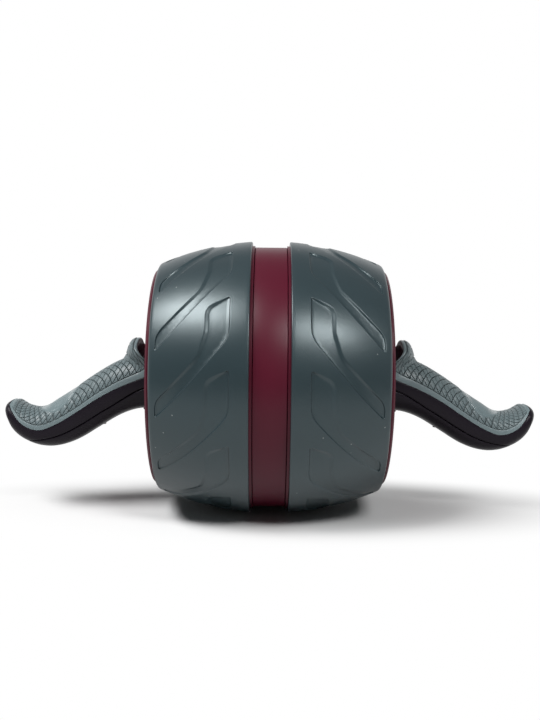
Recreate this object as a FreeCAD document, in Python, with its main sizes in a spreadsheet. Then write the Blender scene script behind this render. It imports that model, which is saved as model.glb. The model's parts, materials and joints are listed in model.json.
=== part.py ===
"""Wide-barrel ab roller: crowned treads on a sprung drum, with two drooping handles.

Frame: origin at the middle of the axle, X along the axle, Z up, millimetres.
Right-hand pieces lie on +X. Each left-hand piece is the mirror image of the right-hand one.
"""
import FreeCAD
import Part
import math
import os
import Sketcher

V = FreeCAD.Vector
AXLE_LINE = V(1, 0, 0)
UP = V(0, 0, 1)

# Driving dimensions, in millimetres and degrees
DRIVING = {
    # Barrel
    "crown_radius": 95.0,
    "crown_arc": 190.0,
    "tread_gap": 26.0,
    "tread_width": 63.7,
    "tread_wall": 5.0,
    "tread_corner": 3.0,
    "tread_edge": 0.8,
    "drum_wall": 3.5,
    "band_drop": 3.9,
    "band_wall": 5.0,
    "lip_drop": 2.9,
    "lip_width": 1.8,
    "band_reveal": 0.3,
    "rim_step": 3.48,
    "rim_width": 2.5,
    "rim_edge": 1.2,
    # Tread relief
    "groove_count": 12,
    "groove_depth": 1.2,
    "groove_phase": 10.5,
    "groove_inset": 12.0,
    "groove_width": 16.0,
    "groove_skew": 9.0,
    "groove_straight": 26.0,
    "groove_shoulder": 37.0,
    "groove_bend": 3.0,
    "tail_end_inset": 4.2,
    "tail_length": 82.0,
    "tail_round": 11.0,
    # Spring chamber
    "web_offset": 14.0,
    "web_wall": 3.0,
    "web_bore": 14.0,
    "chamber_radius": 56.0,
    "chamber_wall": 3.0,
    "spring_thickness": 0.9,
    "spring_width": 18.0,
    "spring_turns": 8,
    "spring_slack": 1.5,
    "arbor_radius": 12.0,
    "arbor_width": 20.0,
    "hook_depth": 2.0,
    "hook_clearance": 0.2,
    "pin_diameter": 4.0,
    # Axle and bearings
    "axle_diameter": 13.0,
    "axle_bore": 8.0,
    "axle_end_cover": 3.0,
    "flat_width": 11.4,
    "run_clearance": 0.05,
    "bush_diameter": 19.0,
    "bush_length": 16.0,
    "bush_flange_diameter": 26.0,
    "bush_flange": 2.0,
    "washer_diameter": 22.0,
    "washer_thickness": 1.5,
    "washer_play": 0.3,
    "clip_diameter": 18.0,
    "clip_thickness": 1.2,
    "clip_groove_depth": 0.8,
    "clip_opening": 70.0,
    # Side covers
    "cover_wall": 3.0,
    "rim_band": 9.0,
    "dish_depth": 9.0,
    "dish_slope": 6.0,
    "hub_radius": 28.0,
    "hub_inset": 1.2,
    "hub_boss_radius": 15.0,
    "spigot_length": 12.0,
    # Screws
    "cover_screw_count": 4,
    "drum_screw_count": 6,
    "boss_diameter": 10.0,
    "screw_diameter": 4.0,
    "screw_head_diameter": 8.0,
    "screw_head_height": 2.4,
    "screw_dome": 0.8,
    "cover_screw_length": 16.0,
    # Handles: steps between stations, height of the top line, depth below it, width
    "neck_gap": 0.5,
    "neck_top": 14.5,
    "neck_depth": 36.5,
    "neck_width": 38.0,
    "throat_step": 13.3,
    "throat_top": 14.2,
    "throat_depth": 37.4,
    "throat_width": 38.0,
    "shoulder_step": 12.0,
    "shoulder_top": 11.0,
    "shoulder_depth": 38.5,
    "shoulder_width": 37.5,
    "upper_palm_step": 14.0,
    "upper_palm_top": 3.3,
    "upper_palm_depth": 39.1,
    "upper_palm_width": 36.5,
    "palm_step": 16.0,
    "palm_top": -7.4,
    "palm_depth": 38.1,
    "palm_width": 35.5,
    "heel_step": 14.0,
    "heel_top": -16.4,
    "heel_depth": 33.9,
    "heel_width": 35.0,
    "dip_step": 12.0,
    "dip_top": -23.3,
    "dip_depth": 26.9,
    "dip_width": 36.0,
    "flare_step": 11.0,
    "flare_top": -22.3,
    "flare_depth": 23.4,
    "flare_width": 38.5,
    "tail_step": 8.0,
    "tail_top": -18.0,
    "tail_depth": 20.6,
    "tail_width": 36.0,
    "edge_step": 4.3,
    "edge_top": -19.3,
    "edge_depth": 9.4,
    "edge_width": 27.0,
    "tip_step": 1.2,
    "tip_top": -21.5,
    "tip_depth": 3.5,
    "tip_width": 12.0,
    "grip_wall": 2.6,
    "neck_skirt": 13.2,
    "shoulder_skirt": 17.3,
    "upper_palm_skirt": 17.2,
    "palm_skirt": 17.1,
    "heel_skirt": 16.4,
    "dip_skirt": 13.4,
    "flare_skirt": 9.7,
    "tail_skirt": 4.0,
    "tip_skirt": 1.8,
    "grip_inset": 8.0,
    "grip_margin": 3.8,
    "shell_wall": 2.8,
    "lower_depth": 9.6,
    "lower_neck": 6.0,
    "parting_gap": 0.4,
    # Hand guard at the inner end of the grip
    "guard_rise": 7.0,
    "guard_radius": 20.7,
    "guard_lip": 2.0,
    "guard_offset": 15.0,
    "guard_run": 15.5,
    "guard_sag": 1.0,
    # Handle socket, button and screws
    "sleeve_diameter": 18.0,
    "sleeve_inset": 1.0,
    "sleeve_length": 19.0,
    "button_diameter": 6.4,
    "button_clearance": 0.3,
    "button_offset": 6.5,
    "button_proud": 1.5,
    "button_edge": 0.8,
    "button_flange_diameter": 9.2,
    "button_flange": 1.4,
    "pin_tip_gap": 0.1,
    "snap_pin_drop": 2.0,
    "leaf_thickness": 0.8,
    "leaf_width": 4.0,
    "leaf_length": 18.0,
    "handle_screw_diameter": 3.0,
    "handle_screw_head": 6.0,
    "handle_screw_head_height": 2.0,
    "handle_screw_reach": 12.0,
    "handle_screw_sink": 3.0,
    "post_diameter": 8.0,
}

# Dimensions worked out from the driving ones
DERIVED = {
    "tread_in": "=tread_gap / 2",
    "tread_out": "=tread_in + tread_width",
    "barrel_half": "=tread_out + rim_width",
    "crown_centre": "=crown_radius - sqrt(crown_arc ^ 2 - tread_in ^ 2)",
    "crown_end": "=crown_centre + sqrt(crown_arc ^ 2 - tread_out ^ 2)",
    "seat_arc": "=crown_arc - tread_wall",
    "seat_in": "=crown_centre + sqrt(seat_arc ^ 2 - tread_in ^ 2)",
    "seat_out": "=crown_centre + sqrt(seat_arc ^ 2 - tread_out ^ 2)",
    "shell_arc": "=seat_arc - drum_wall",
    "web_out": "=web_offset + web_wall",
    "shell_in": "=crown_centre + sqrt(shell_arc ^ 2 - web_out ^ 2)",
    "shell_out": "=crown_centre + sqrt(shell_arc ^ 2 - tread_out ^ 2)",
    "lip_in": "=tread_in - lip_width",
    "lip_radius": "=crown_radius - lip_drop",
    "band_radius": "=crown_radius - band_drop",
    "band_seat": "=band_radius - band_wall",
    "band_half": "=lip_in - band_reveal",
    "band_inner": "=band_seat - drum_wall",
    "chamber_outer": "=chamber_radius + chamber_wall",
    "rim_radius": "=crown_end - rim_step",
    "rim_round_x": "=barrel_half - rim_edge",
    "rim_face": "=rim_radius - rim_edge",
    "rim_inner": "=rim_radius - rim_band",
    "dish_x": "=barrel_half - dish_depth",
    "dish_back": "=dish_x - cover_wall",
    "dish_outer": "=rim_inner - dish_slope",
    "dish_inner": "=hub_radius + dish_slope",
    "cover_screw_circle": "=(dish_inner + dish_outer) / 2",
    "drum_screw_circle": "=(chamber_outer + band_inner) / 2",
    "hub_face": "=barrel_half - hub_inset",
    "hub_back": "=hub_face - bush_length",
    "spigot_inner": "=shell_out - cover_wall",
    "spigot_end": "=tread_out - spigot_length",
    "bush_radius": "=bush_diameter / 2",
    "bush_bore": "=axle_radius + run_clearance",
    "bush_flange_radius": "=bush_flange_diameter / 2",
    "bush_face": "=hub_face + bush_flange",
    "axle_radius": "=axle_diameter / 2",
    "washer_face": "=hub_back - washer_play",
    "washer_back": "=washer_face - washer_thickness",
    "washer_radius": "=washer_diameter / 2",
    "clip_back": "=washer_back - clip_thickness",
    "clip_radius": "=clip_diameter / 2",
    "clip_seat": "=axle_radius - clip_groove_depth",
    "arbor_half": "=arbor_width / 2",
    "screw_radius": "=screw_diameter / 2",
    "neck_x": "=bush_face + neck_gap",
    "sleeve_x": "=neck_x + sleeve_inset",
    "sleeve_radius": "=sleeve_diameter / 2",
    "sleeve_end": "=sleeve_x + sleeve_length",
    "axle_half": "=sleeve_end - axle_end_cover",
    "button_x": "=neck_x + button_offset",
    "button_hole_diameter": "=button_diameter + 2 * button_clearance",
    "button_travel": "=sleeve_radius - flat_width / 2",
    "flange_top": "=-sleeve_radius - button_travel - button_clearance",
    "flange_foot": "=flange_top - button_flange",
}

STATIONS = (
    "neck", "throat", "shoulder", "upper_palm", "palm", "heel", "dip", "flare", "tail", "edge", "tip",
)
SECTION_POINTS = 16
SECTION_FULLNESS = 2.3
LEAST_SHARE = 0.4
PARTING_FALL = 9
PARTING_RISE = 6
FAR = 400.0

doc = FreeCAD.newDocument("ab_roller")
sizes = doc.addObject("Spreadsheet::Sheet", "Sizes")
for row, (alias, amount) in enumerate({**DRIVING, **DERIVED}.items(), start=1):
    sizes.set(f"A{row}", alias)
    sizes.set(f"B{row}", str(amount))
    sizes.setAlias(f"B{row}", alias)
doc.recompute()


def size(alias):
    """Number in the cell with this alias."""
    return float(sizes.get(alias))


def bind(thing, **expressions):
    """Tie properties to cells; a double underscore in a name stands for a dot."""
    for name, expression in expressions.items():
        thing.setExpression(name.replace("__", "."), expression)
    return thing


# Building blocks

def new_body(label):
    piece = doc.addObject("PartDesign::Body", label)
    piece.Label = label
    return piece


def origin_item(piece, role):
    return next(item for item in piece.Origin.OriginFeatures if item.Role == role)


def new_sketch(piece, role):
    sketch = piece.newObject("Sketcher::SketchObject", f"{piece.Name}_sketch")
    sketch.AttachmentSupport = (origin_item(piece, role), [""])
    sketch.MapMode = "FlatFace"
    return sketch


def arc_between(start, end, radius):
    """Arc of the given radius about a centre below the chord, drawn anticlockwise."""
    chord = end - start
    middle = (start + end) / 2
    side = V(chord.y, -chord.x, 0).normalize()
    if side.y > 0:
        side = side * -1
    centre = middle + side * math.sqrt(radius ** 2 - (chord.Length / 2) ** 2)
    angles = [math.atan2(p.y - centre.y, p.x - centre.x) for p in (start, end)]
    return Part.ArcOfCircle(Part.Circle(centre, UP, radius), min(angles), max(angles))


def turned_profile(piece, corners, angle=360.0):
    """Solid of revolution about the axle from (x, radius) corners, each named by its cells.

    A third name on a corner is the radius of an arc that leads to it. None stands for zero.
    """
    def place(corner):
        return V(*(size(name) if name else 0.0 for name in corner[:2]), 0)

    sketch = new_sketch(piece, "XY_Plane")
    joints = []
    for before, here in zip(corners[-1:] + corners[:-1], corners):
        start, end = place(before), place(here)
        if len(here) == 3:
            edge = sketch.addGeometry(arc_between(start, end, size(here[2])))
            ends = (1, 2) if start.x > end.x else (2, 1)
            tie = sketch.addConstraint(Sketcher.Constraint("Radius", edge, size(here[2])))
            sketch.setExpression(f"Constraints[{tie}]", f"Sizes.{here[2]}")
        else:
            edge = sketch.addGeometry(Part.LineSegment(start, end))
            ends = (1, 2)
        joints.append((edge, *ends))
    for (edge, _, last), (following, first, _), corner in zip(joints, joints[1:] + joints[:1], corners):
        sketch.addConstraint(Sketcher.Constraint("Coincident", edge, last, following, first))
        for kind, name in zip(("DistanceX", "DistanceY"), corner):
            tie = sketch.addConstraint(Sketcher.Constraint(kind, edge, last, size(name) if name else 0.0))
            if name:
                sketch.setExpression(f"Constraints[{tie}]", f"Sizes.{name}")
    turn = piece.newObject("PartDesign::Revolution", f"{piece.Name}_turn")
    turn.Profile = sketch
    turn.ReferenceAxis = (sketch, ["H_Axis"])
    turn.Angle = angle
    piece.Tip = turn
    return turn


def round_pad(piece, kind, diameter, circle, start, length, count, backwards=False):
    """Ring of round bosses (PartDesign::Pad) or holes (PartDesign::Pocket) along the axle."""
    sketch = new_sketch(piece, "YZ_Plane")
    bind(sketch, AttachmentOffset__Base__z=start)
    edge = sketch.addGeometry(Part.Circle(V(0, size(circle), 0), UP, size(diameter) / 2))
    sketch.addConstraint(Sketcher.Constraint("PointOnObject", edge, 3, -2))
    for kind_of_tie, place, name in (("DistanceY", (edge, 3), circle), ("Diameter", (edge,), diameter)):
        tie = sketch.addConstraint(Sketcher.Constraint(kind_of_tie, *place, size(name)))
        sketch.setExpression(f"Constraints[{tie}]", f"Sizes.{name}")
    feature = piece.newObject(kind, f"{piece.Name}_round")
    feature.Profile = sketch
    feature.Reversed = backwards
    bind(feature, Length=length)
    pattern = piece.newObject("PartDesign::PolarPattern", f"{piece.Name}_ring")
    pattern.Originals = [feature]
    pattern.Axis = (origin_item(piece, "X_Axis"), [""])
    pattern.Angle = 360.0
    bind(pattern, Occurrences=f"Sizes.{count}")
    piece.Tip = pattern


def along_axle(label, radius, start, length):
    """Cylinder whose axis is the axle."""
    bar = doc.addObject("Part::Cylinder", label)
    bar.Placement.Rotation = FreeCAD.Rotation(UP, AXLE_LINE)
    return bind(bar, Radius=radius, Height=length, Placement__Base__x=start)


def upright(label, radius, x, foot, height):
    """Cylinder standing on Z at a place along the axle."""
    bar = doc.addObject("Part::Cylinder", label)
    return bind(bar, Radius=radius, Height=height, Placement__Base__x=x, Placement__Base__z=foot)


def joined(label, pieces):
    whole = doc.addObject("Part::MultiFuse", label)
    whole.Shapes = pieces
    return whole


def cut(label, base, tool):
    result = doc.addObject("Part::Cut", label)
    result.Base = base
    result.Tool = tool
    result.Label = label
    return result


def fixed_shape(label, shape):
    piece = doc.addObject("Part::Feature", label)
    piece.Shape = shape
    piece.Label = label
    return piece


nodes = []


def keep(piece):
    nodes.append(piece)
    return piece


def keep_pair(right):
    """Keep a right-hand piece and its mirror image on the left."""
    left = doc.addObject("Part::Mirroring", right.Label.replace("right_", "left_"))
    left.Source = right
    left.Base = V(0, 0, 0)
    left.Normal = AXLE_LINE
    left.Label = right.Label.replace("right_", "left_")
    nodes.extend([left, right])


# Treads

def crown_at(x, below=0.0):
    """Radius of the crown, or of a surface so far below it, at a distance from the mid-plane."""
    return size("crown_centre") + math.sqrt((size("crown_arc") - below) ** 2 - x ** 2)


def groove_outline():
    """Corners of one recess as (x, distance round the crown): a pocket that runs into a long tail."""
    inner = size("tread_in") + size("groove_inset")
    outer = inner + size("groove_width")
    bend = size("groove_bend")
    tip = size("tread_out") - size("tail_end_inset")
    return [
        (inner, 0.0), (outer, size("groove_skew")), (outer, size("groove_straight")),
        (outer + bend, size("groove_shoulder")), (tip - bend, size("tail_length") - size("tail_round")),
        (tip, size("tail_length") - size("tail_round") / 2), (tip, size("tail_length")),
        (inner + bend, size("groove_straight") + bend), (inner, size("groove_straight")),
    ]


def groove_cutter():
    """Prism of the recess's outline, pushed in along the radius at its middle."""
    middle = math.degrees(size("tail_length") / 2 / size("crown_radius"))
    corners = []
    for x, place in groove_outline():
        turn = place / size("crown_radius") - math.radians(middle)
        corners.append(V(x, 0, -crown_at(x) * math.sin(turn)))
    face = Part.Face(Part.makePolygon(corners + corners[:1]))
    prism = face.extrude(V(0, -2 * size("crown_radius"), 0))
    prism.rotate(V(0, 0, 0), AXLE_LINE, middle - size("groove_phase"))
    return prism


def round_edge(piece, x, radius, rounding):
    """Fillet the edge about the axle that lies nearest to a place."""
    doc.recompute()
    base = piece.Tip
    misses = {}
    for number, edge in enumerate(base.Shape.Edges, start=1):
        if isinstance(edge.Curve, Part.Circle):
            misses[f"Edge{number}"] = abs(edge.Curve.Center.x - size(x)) + abs(edge.Curve.Radius - size(radius))
    fillet = piece.newObject("PartDesign::Fillet", f"{piece.Name}_{rounding}")
    fillet.Base = (base, [min(misses, key=misses.get)])
    bind(fillet, Radius=f"Sizes.{rounding}")
    piece.Tip = fillet
    doc.recompute()


def make_treads():
    blank = new_body("tread_blank")
    turned_profile(blank, [
        ("tread_in", "crown_radius"), ("tread_out", "crown_end", "crown_arc"),
        ("tread_out", "seat_out"), ("tread_in", "seat_in", "seat_arc"),
    ])
    round_edge(blank, "tread_out", "crown_end", "tread_corner")
    round_edge(blank, "tread_in", "crown_radius", "tread_edge")

    past_crown = 2 * size("crown_radius")
    core = Part.makeCylinder(past_crown, size("tread_width"), V(size("tread_in"), 0, 0), AXLE_LINE)
    floor = Part.Arc(*(
        V(x, crown_at(x, size("groove_depth")), 0)
        for x in (size("tread_in"), (size("tread_in") + size("tread_out")) / 2, size("tread_out"))
    )).toShape()
    ends = floor.Vertexes
    section = Part.Face(Part.Wire([
        floor,
        Part.makeLine(ends[1].Point, V(size("tread_out"), 0, 0)),
        Part.makeLine(V(size("tread_out"), 0, 0), V(size("tread_in"), 0, 0)),
        Part.makeLine(V(size("tread_in"), 0, 0), ends[0].Point),
    ]))
    core = core.cut(section.revolve(V(0, 0, 0), AXLE_LINE, 360))
    recess = groove_cutter().common(core)
    pitch = 360.0 / size("groove_count")
    recesses = []
    for number in range(int(size("groove_count"))):
        copy = recess.copy()
        copy.rotate(V(0, 0, 0), AXLE_LINE, number * pitch)
        recesses.append(copy)
    grooves = fixed_shape("tread_grooves", Part.makeCompound(recesses))
    keep_pair(cut("right_tread", blank, grooves))


# Drum

def make_drum():
    half = new_body("right_drum_half")
    turned_profile(half, [
        (None, "band_seat"), ("lip_in", "band_seat"), ("lip_in", "lip_radius"), ("tread_in", "lip_radius"),
        ("tread_in", "seat_in"), ("tread_out", "seat_out", "seat_arc"), ("tread_out", "shell_out"),
        ("web_out", "shell_in", "shell_arc"), ("web_out", "web_bore"), ("web_offset", "web_bore"),
        ("web_offset", "chamber_radius"), (None, "chamber_radius"), (None, "chamber_outer"),
        ("web_offset", "chamber_outer"), ("web_offset", "band_inner"), (None, "band_inner"),
    ])
    round_pad(half, "PartDesign::Pad", "boss_diameter", "drum_screw_circle", "0",
              "Sizes.web_out", "drum_screw_count")
    round_pad(half, "PartDesign::Pad", "boss_diameter", "cover_screw_circle", "Sizes.web_offset",
              "Sizes.dish_back - Sizes.web_offset", "cover_screw_count")
    round_pad(half, "PartDesign::Pocket", "screw_diameter", "drum_screw_circle", "0",
              "Sizes.web_out", "drum_screw_count", backwards=True)
    round_pad(half, "PartDesign::Pocket", "screw_diameter", "cover_screw_circle", "Sizes.dish_back",
              "Sizes.cover_screw_length - Sizes.cover_wall", "cover_screw_count")
    keep_pair(half)

    band = new_body("centre_band_half")
    turned_profile(band, [
        (None, "band_seat"), ("band_half", "band_seat"), ("band_half", "band_radius"), (None, "band_radius"),
    ])
    other = doc.addObject("Part::Mirroring", "centre_band_other_half")
    other.Source = band
    other.Normal = AXLE_LINE
    whole = joined("centre_band", [band, other])
    whole.Label = "centre_band"
    whole.Refine = True
    keep(whole)


def make_side_covers():
    cover = new_body("right_side_cover")
    turned_profile(cover, [
        ("tread_out", "rim_radius"), ("rim_round_x", "rim_radius"), ("barrel_half", "rim_face"),
        ("barrel_half", "rim_inner"), ("dish_x", "dish_outer"), ("dish_x", "dish_inner"),
        ("hub_face", "hub_radius"), ("hub_face", "bush_radius"), ("hub_back", "bush_radius"),
        ("hub_back", "hub_boss_radius"), ("dish_back", "hub_boss_radius"), ("dish_back", "spigot_inner"),
        ("spigot_end", "spigot_inner"), ("spigot_end", "shell_out"), ("tread_out", "shell_out"),
    ])
    round_pad(cover, "PartDesign::Pocket", "screw_diameter", "cover_screw_circle", "Sizes.dish_x",
              "Sizes.cover_wall", "cover_screw_count")
    keep_pair(cover)

    bush = new_body("right_bush")
    turned_profile(bush, [
        ("hub_back", "bush_bore"), ("hub_back", "bush_radius"), ("hub_face", "bush_radius"),
        ("hub_face", "bush_flange_radius"), ("bush_face", "bush_flange_radius"), ("bush_face", "bush_bore"),
    ])
    keep_pair(bush)


def pan_head_screw(head_face, length, head, head_height, shank):
    """Screw along -X whose domed head stands on the plane at head_face."""
    dome = size("screw_dome")
    outline = [
        V(head_face - length, 0, 0), V(head_face - length, shank, 0), V(head_face, shank, 0), V(head_face, head, 0),
        V(head_face + head_height - dome, head, 0), V(head_face + head_height, head - dome, 0),
        V(head_face + head_height, 0, 0),
    ]
    return Part.Face(Part.makePolygon(outline + outline[:1])).revolve(V(0, 0, 0), AXLE_LINE, 360)


def ring_of_screws(label, circle, count, head_face, length):
    screws = []
    for number in range(int(size(count))):
        screw = pan_head_screw(head_face, length, size("screw_head_diameter") / 2,
                               size("screw_head_height"), size("screw_radius"))
        screw.translate(V(0, 0, size(circle)))
        screw.rotate(V(0, 0, 0), AXLE_LINE, number * 360.0 / size(count))
        screws.append(screw)
    return fixed_shape(label, Part.makeCompound(screws))


def make_screws():
    keep(ring_of_screws("drum_screws", "drum_screw_circle", "drum_screw_count",
                        size("web_out"), size("web_out") + size("web_offset")))
    keep_pair(ring_of_screws("right_cover_screws", "cover_screw_circle", "cover_screw_count",
                             size("dish_x"), size("cover_screw_length")))


# Axle, bearings and spring

def make_axle():
    bar = along_axle("axle_bar", "Sizes.axle_radius", "-Sizes.axle_half", "2 * Sizes.axle_half")
    tools = [along_axle("axle_hole", "Sizes.axle_bore / 2", "-Sizes.axle_half", "2 * Sizes.axle_half")]
    for side, start in ((1, "Sizes.clip_back"), (-1, "-Sizes.washer_back")):
        ring = along_axle(f"clip_groove_{side + 1}", "Sizes.clip_radius", start, "Sizes.clip_thickness")
        core = along_axle(f"clip_core_{side + 1}", "Sizes.clip_seat", start, "Sizes.clip_thickness")
        tools.append(cut(f"clip_slot_{side + 1}", ring, core))
        tools.append(upright(f"button_hole_{side + 1}", "Sizes.button_hole_diameter / 2",
                             f"{side} * Sizes.button_x", "-Sizes.axle_diameter", "Sizes.axle_diameter"))
        for face in (1, -1):
            flat = doc.addObject("Part::Box", f"axle_flat_{side + 1}_{face + 1}")
            bind(flat, Length="Sizes.sleeve_length", Width="Sizes.axle_diameter", Height="Sizes.axle_diameter",
                 Placement__Base__x="Sizes.sleeve_x" if side > 0 else "-Sizes.sleeve_end",
                 Placement__Base__y="-Sizes.axle_radius",
                 Placement__Base__z="Sizes.flat_width / 2" if face > 0
                 else "-Sizes.flat_width / 2 - Sizes.axle_diameter")
            tools.append(flat)
    tools.append(upright("axle_pin_hole", "Sizes.pin_diameter / 2", "0", "-Sizes.axle_diameter",
                         "2 * Sizes.axle_diameter"))
    keep(cut("axle", bar, joined("axle_cuts", tools)))

    washer = new_body("right_thrust_washer")
    turned_profile(washer, [
        ("washer_back", "bush_bore"), ("washer_back", "washer_radius"),
        ("washer_face", "washer_radius"), ("washer_face", "bush_bore"),
    ])
    keep_pair(washer)
    clip = new_body("right_retaining_clip")
    turned_profile(clip, [
        ("clip_back", "clip_seat"), ("clip_back", "clip_radius"),
        ("washer_back", "clip_radius"), ("washer_back", "clip_seat"),
    ], angle=360.0 - size("clip_opening"))
    keep_pair(clip)


def make_arbor():
    sleeve = along_axle("arbor_bar", "Sizes.arbor_radius", "-Sizes.arbor_half", "Sizes.arbor_width")
    bore = along_axle("arbor_bore", "Sizes.axle_radius", "-Sizes.arbor_half", "Sizes.arbor_width")
    pin_hole = upright("arbor_pin_hole", "Sizes.pin_diameter / 2", "0", "-2 * Sizes.arbor_radius",
                       "4 * Sizes.arbor_radius")
    slot = doc.addObject("Part::Box", "arbor_slot")
    bind(slot, Length="Sizes.arbor_width", Width="2 * Sizes.hook_depth",
         Height="Sizes.spring_thickness + 2 * Sizes.hook_clearance",
         Placement__Base__x="-Sizes.arbor_half", Placement__Base__y="Sizes.arbor_radius - Sizes.hook_depth",
         Placement__Base__z="-Sizes.hook_clearance")
    keep(cut("spring_arbor", sleeve, joined("arbor_cuts", [bore, pin_hole, slot])))

    pin = upright("arbor_pin", "Sizes.pin_diameter / 2", "0", "-Sizes.arbor_radius", "2 * Sizes.arbor_radius")
    pin.Label = "arbor_pin"
    keep(pin)


def make_power_spring():
    """Flat strip wound as half circles about two centres, hooked into the arbor at its inner end."""
    thickness, turns = size("spring_thickness"), int(size("spring_turns"))
    first = size("arbor_radius") + size("spring_slack")
    pitch = (size("chamber_radius") - thickness - size("spring_slack") - first) / turns
    edges = {0.0: [], thickness: []}
    centres = (0.0, pitch / 2)
    for half_turn in range(2 * turns):
        centre = centres[half_turn % 2]
        side = 1 if half_turn % 2 == 0 else -1
        for offset, run in edges.items():
            reach = first + half_turn * pitch / 2 + offset
            run.append(Part.Arc(V(0, centre + side * reach, 0), V(0, centre, side * reach),
                                V(0, centre - side * reach, 0)).toShape())
    inner, outer = edges[0.0], edges[thickness]
    last = inner[-1].Vertexes, outer[-1].Vertexes
    far_inner = max((v.Point for v in last[0]), key=lambda p: p.y)
    far_outer = max((v.Point for v in last[1]), key=lambda p: p.y)
    caps = [Part.makeLine(V(0, first, 0), V(0, first + thickness, 0)), Part.makeLine(far_inner, far_outer)]
    loop = Part.Wire(Part.__sortEdges__(inner + outer + caps))
    strip = Part.Face(loop).extrude(V(size("spring_width"), 0, 0))
    hook = Part.makeBox(size("spring_width"), first + thickness - size("arbor_radius") + size("hook_depth")
                        - size("hook_clearance"), thickness)
    hook.translate(V(0, size("arbor_radius") - size("hook_depth") + size("hook_clearance"), 0))
    strip = strip.fuse(hook).removeSplitter()
    strip.translate(V(-size("spring_width") / 2, 0, 0))
    print(f"power_spring: least gap between turns {pitch - thickness:.2f} mm")
    keep(fixed_shape("power_spring", strip))


# Handles

def station_places():
    """Distance of each handle station from the mid-plane."""
    x = size("neck_x")
    places = {"neck": x}
    for name in STATIONS[1:]:
        x += size(f"{name}_step")
        places[name] = x
    return places


def section_wire(x, top, depth, width, inset):
    """Closed curve across the handle: an ellipse made a little squarer."""
    half_height = max(depth / 2 - inset, depth / 2 * LEAST_SHARE)
    half_width = max(width / 2 - inset, width / 2 * LEAST_SHARE)
    points = []
    for number in range(SECTION_POINTS):
        turn = 2 * math.pi * number / SECTION_POINTS
        across = math.copysign(abs(math.cos(turn)) ** (2 / SECTION_FULLNESS), math.cos(turn))
        rise = math.copysign(abs(math.sin(turn)) ** (2 / SECTION_FULLNESS), math.sin(turn))
        points.append(V(x, half_width * across, top - depth / 2 + half_height * rise))
    curve = Part.BSplineCurve()
    curve.interpolate(Points=points, PeriodicFlag=True)
    return Part.Wire(curve.toShape())


def handle_solid(inset):
    """Loft through the handle's stations, drawn in all round by the inset."""
    wires = []
    for name, x in station_places().items():
        wires.append(section_wire(x, size(f"{name}_top"), size(f"{name}_depth"), size(f"{name}_width"), inset))
    return Part.makeLoft(wires, True, False)


def side_region(points, closing):
    """Prism across the handle whose side view is a smooth line through points, closed by corners."""
    line = Part.BSplineCurve()
    line.interpolate(Points=[V(x, -FAR / 4, z) for x, z in points])
    corners = [points[-1]] + closing + [points[0]]
    edges = [line.toShape()]
    for (x0, z0), (x1, z1) in zip(corners, corners[1:]):
        edges.append(Part.makeLine(V(x0, -FAR / 4, z0), V(x1, -FAR / 4, z1)))
    return Part.Face(Part.Wire(edges)).extrude(V(0, FAR / 2, 0))


def grip_region():
    """What lies above the lower edge of the grip."""
    places = station_places()
    line = [(size("neck_x") + size("grip_inset"), size("throat_top") - size("neck_skirt"))]
    for name in STATIONS[2:9]:
        line.append((places[name], size(f"{name}_top") - size(f"{name}_skirt")))
    end = places["tip"] - size("grip_margin")
    line.append((end, size("tail_top") - size("tip_skirt")))
    return side_region(line, [(end, FAR / 4), (line[0][0], FAR / 4)])


def lower_region(drop):
    """What lies below the parting line of the shells, lowered by drop."""
    places = station_places()
    finish = places["flare"]
    run = finish - places["neck"]
    line = []
    for name in STATIONS[:7]:
        part_way = (places[name] - places["neck"]) / run
        bottom = size(f"{name}_top") - size(f"{name}_depth")
        rise = size("lower_depth") * (1 - part_way ** PARTING_FALL)
        rise += size("lower_neck") * (1 - part_way) ** PARTING_RISE
        line.append((places[name], bottom + rise - drop))
    line.append((finish, size("flare_top") - size("flare_depth") - size("parting_gap") - drop))
    line[0] = (line[0][0] - size("neck_gap"), line[0][1])
    return side_region(line, [(finish, -FAR / 4), (line[0][0], -FAR / 4)])


def hand_guard():
    """Flared hood about an axis above the axle, so that it dies away down the sides."""
    lip, rise = size("guard_lip"), size("guard_rise")
    x = size("neck_x") + size("guard_offset")
    crest = size("guard_radius") - lip
    run, sag = size("guard_run"), size("guard_sag")
    outer_end, inner_end = V(x + run, 0, rise), V(x + run - 2 * lip - sag, 0, rise)
    outer_top, inner_top = V(x + lip, 0, rise + crest), V(x - lip, 0, rise + crest)
    outer_middle = (outer_top + outer_end) / 2 - V(sag, 0, sag)
    inner_middle = (inner_top + inner_end) / 2 - V(sag / 2, 0, sag / 2)
    section = Part.Face(Part.Wire([
        Part.Arc(inner_top, V(x, 0, rise + crest + lip), outer_top).toShape(),
        Part.Arc(outer_top, outer_middle, outer_end).toShape(),
        Part.makeLine(outer_end, inner_end),
        Part.Arc(inner_end, inner_middle, inner_top).toShape(),
    ]))
    return section.revolve(V(0, 0, rise), AXLE_LINE, 360)


def handle_screw_places():
    places = station_places()
    return [places["upper_palm"], places["palm"] + size("heel_step") / 2]


def bottom_at(x):
    """Height of the handle's underside between stations."""
    places = station_places()
    for before, after in zip(STATIONS, STATIONS[1:]):
        if places[before] <= x <= places[after]:
            share = (x - places[before]) / (places[after] - places[before])
            low = [size(f"{name}_top") - size(f"{name}_depth") for name in (before, after)]
            return low[0] + share * (low[1] - low[0])
    raise ValueError(f"no handle at {x}")


def handle_screw(x):
    """Screw pointing up into the upper shell, its head sunk into the lower one."""
    seat = bottom_at(x) + size("handle_screw_sink")
    shank = Part.makeCylinder(size("handle_screw_diameter") / 2, size("handle_screw_reach"), V(x, 0, seat))
    head = Part.makeCylinder(size("handle_screw_head") / 2, size("handle_screw_head_height"),
                             V(x, 0, seat - size("handle_screw_head_height")))
    return shank.fuse(head)


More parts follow.
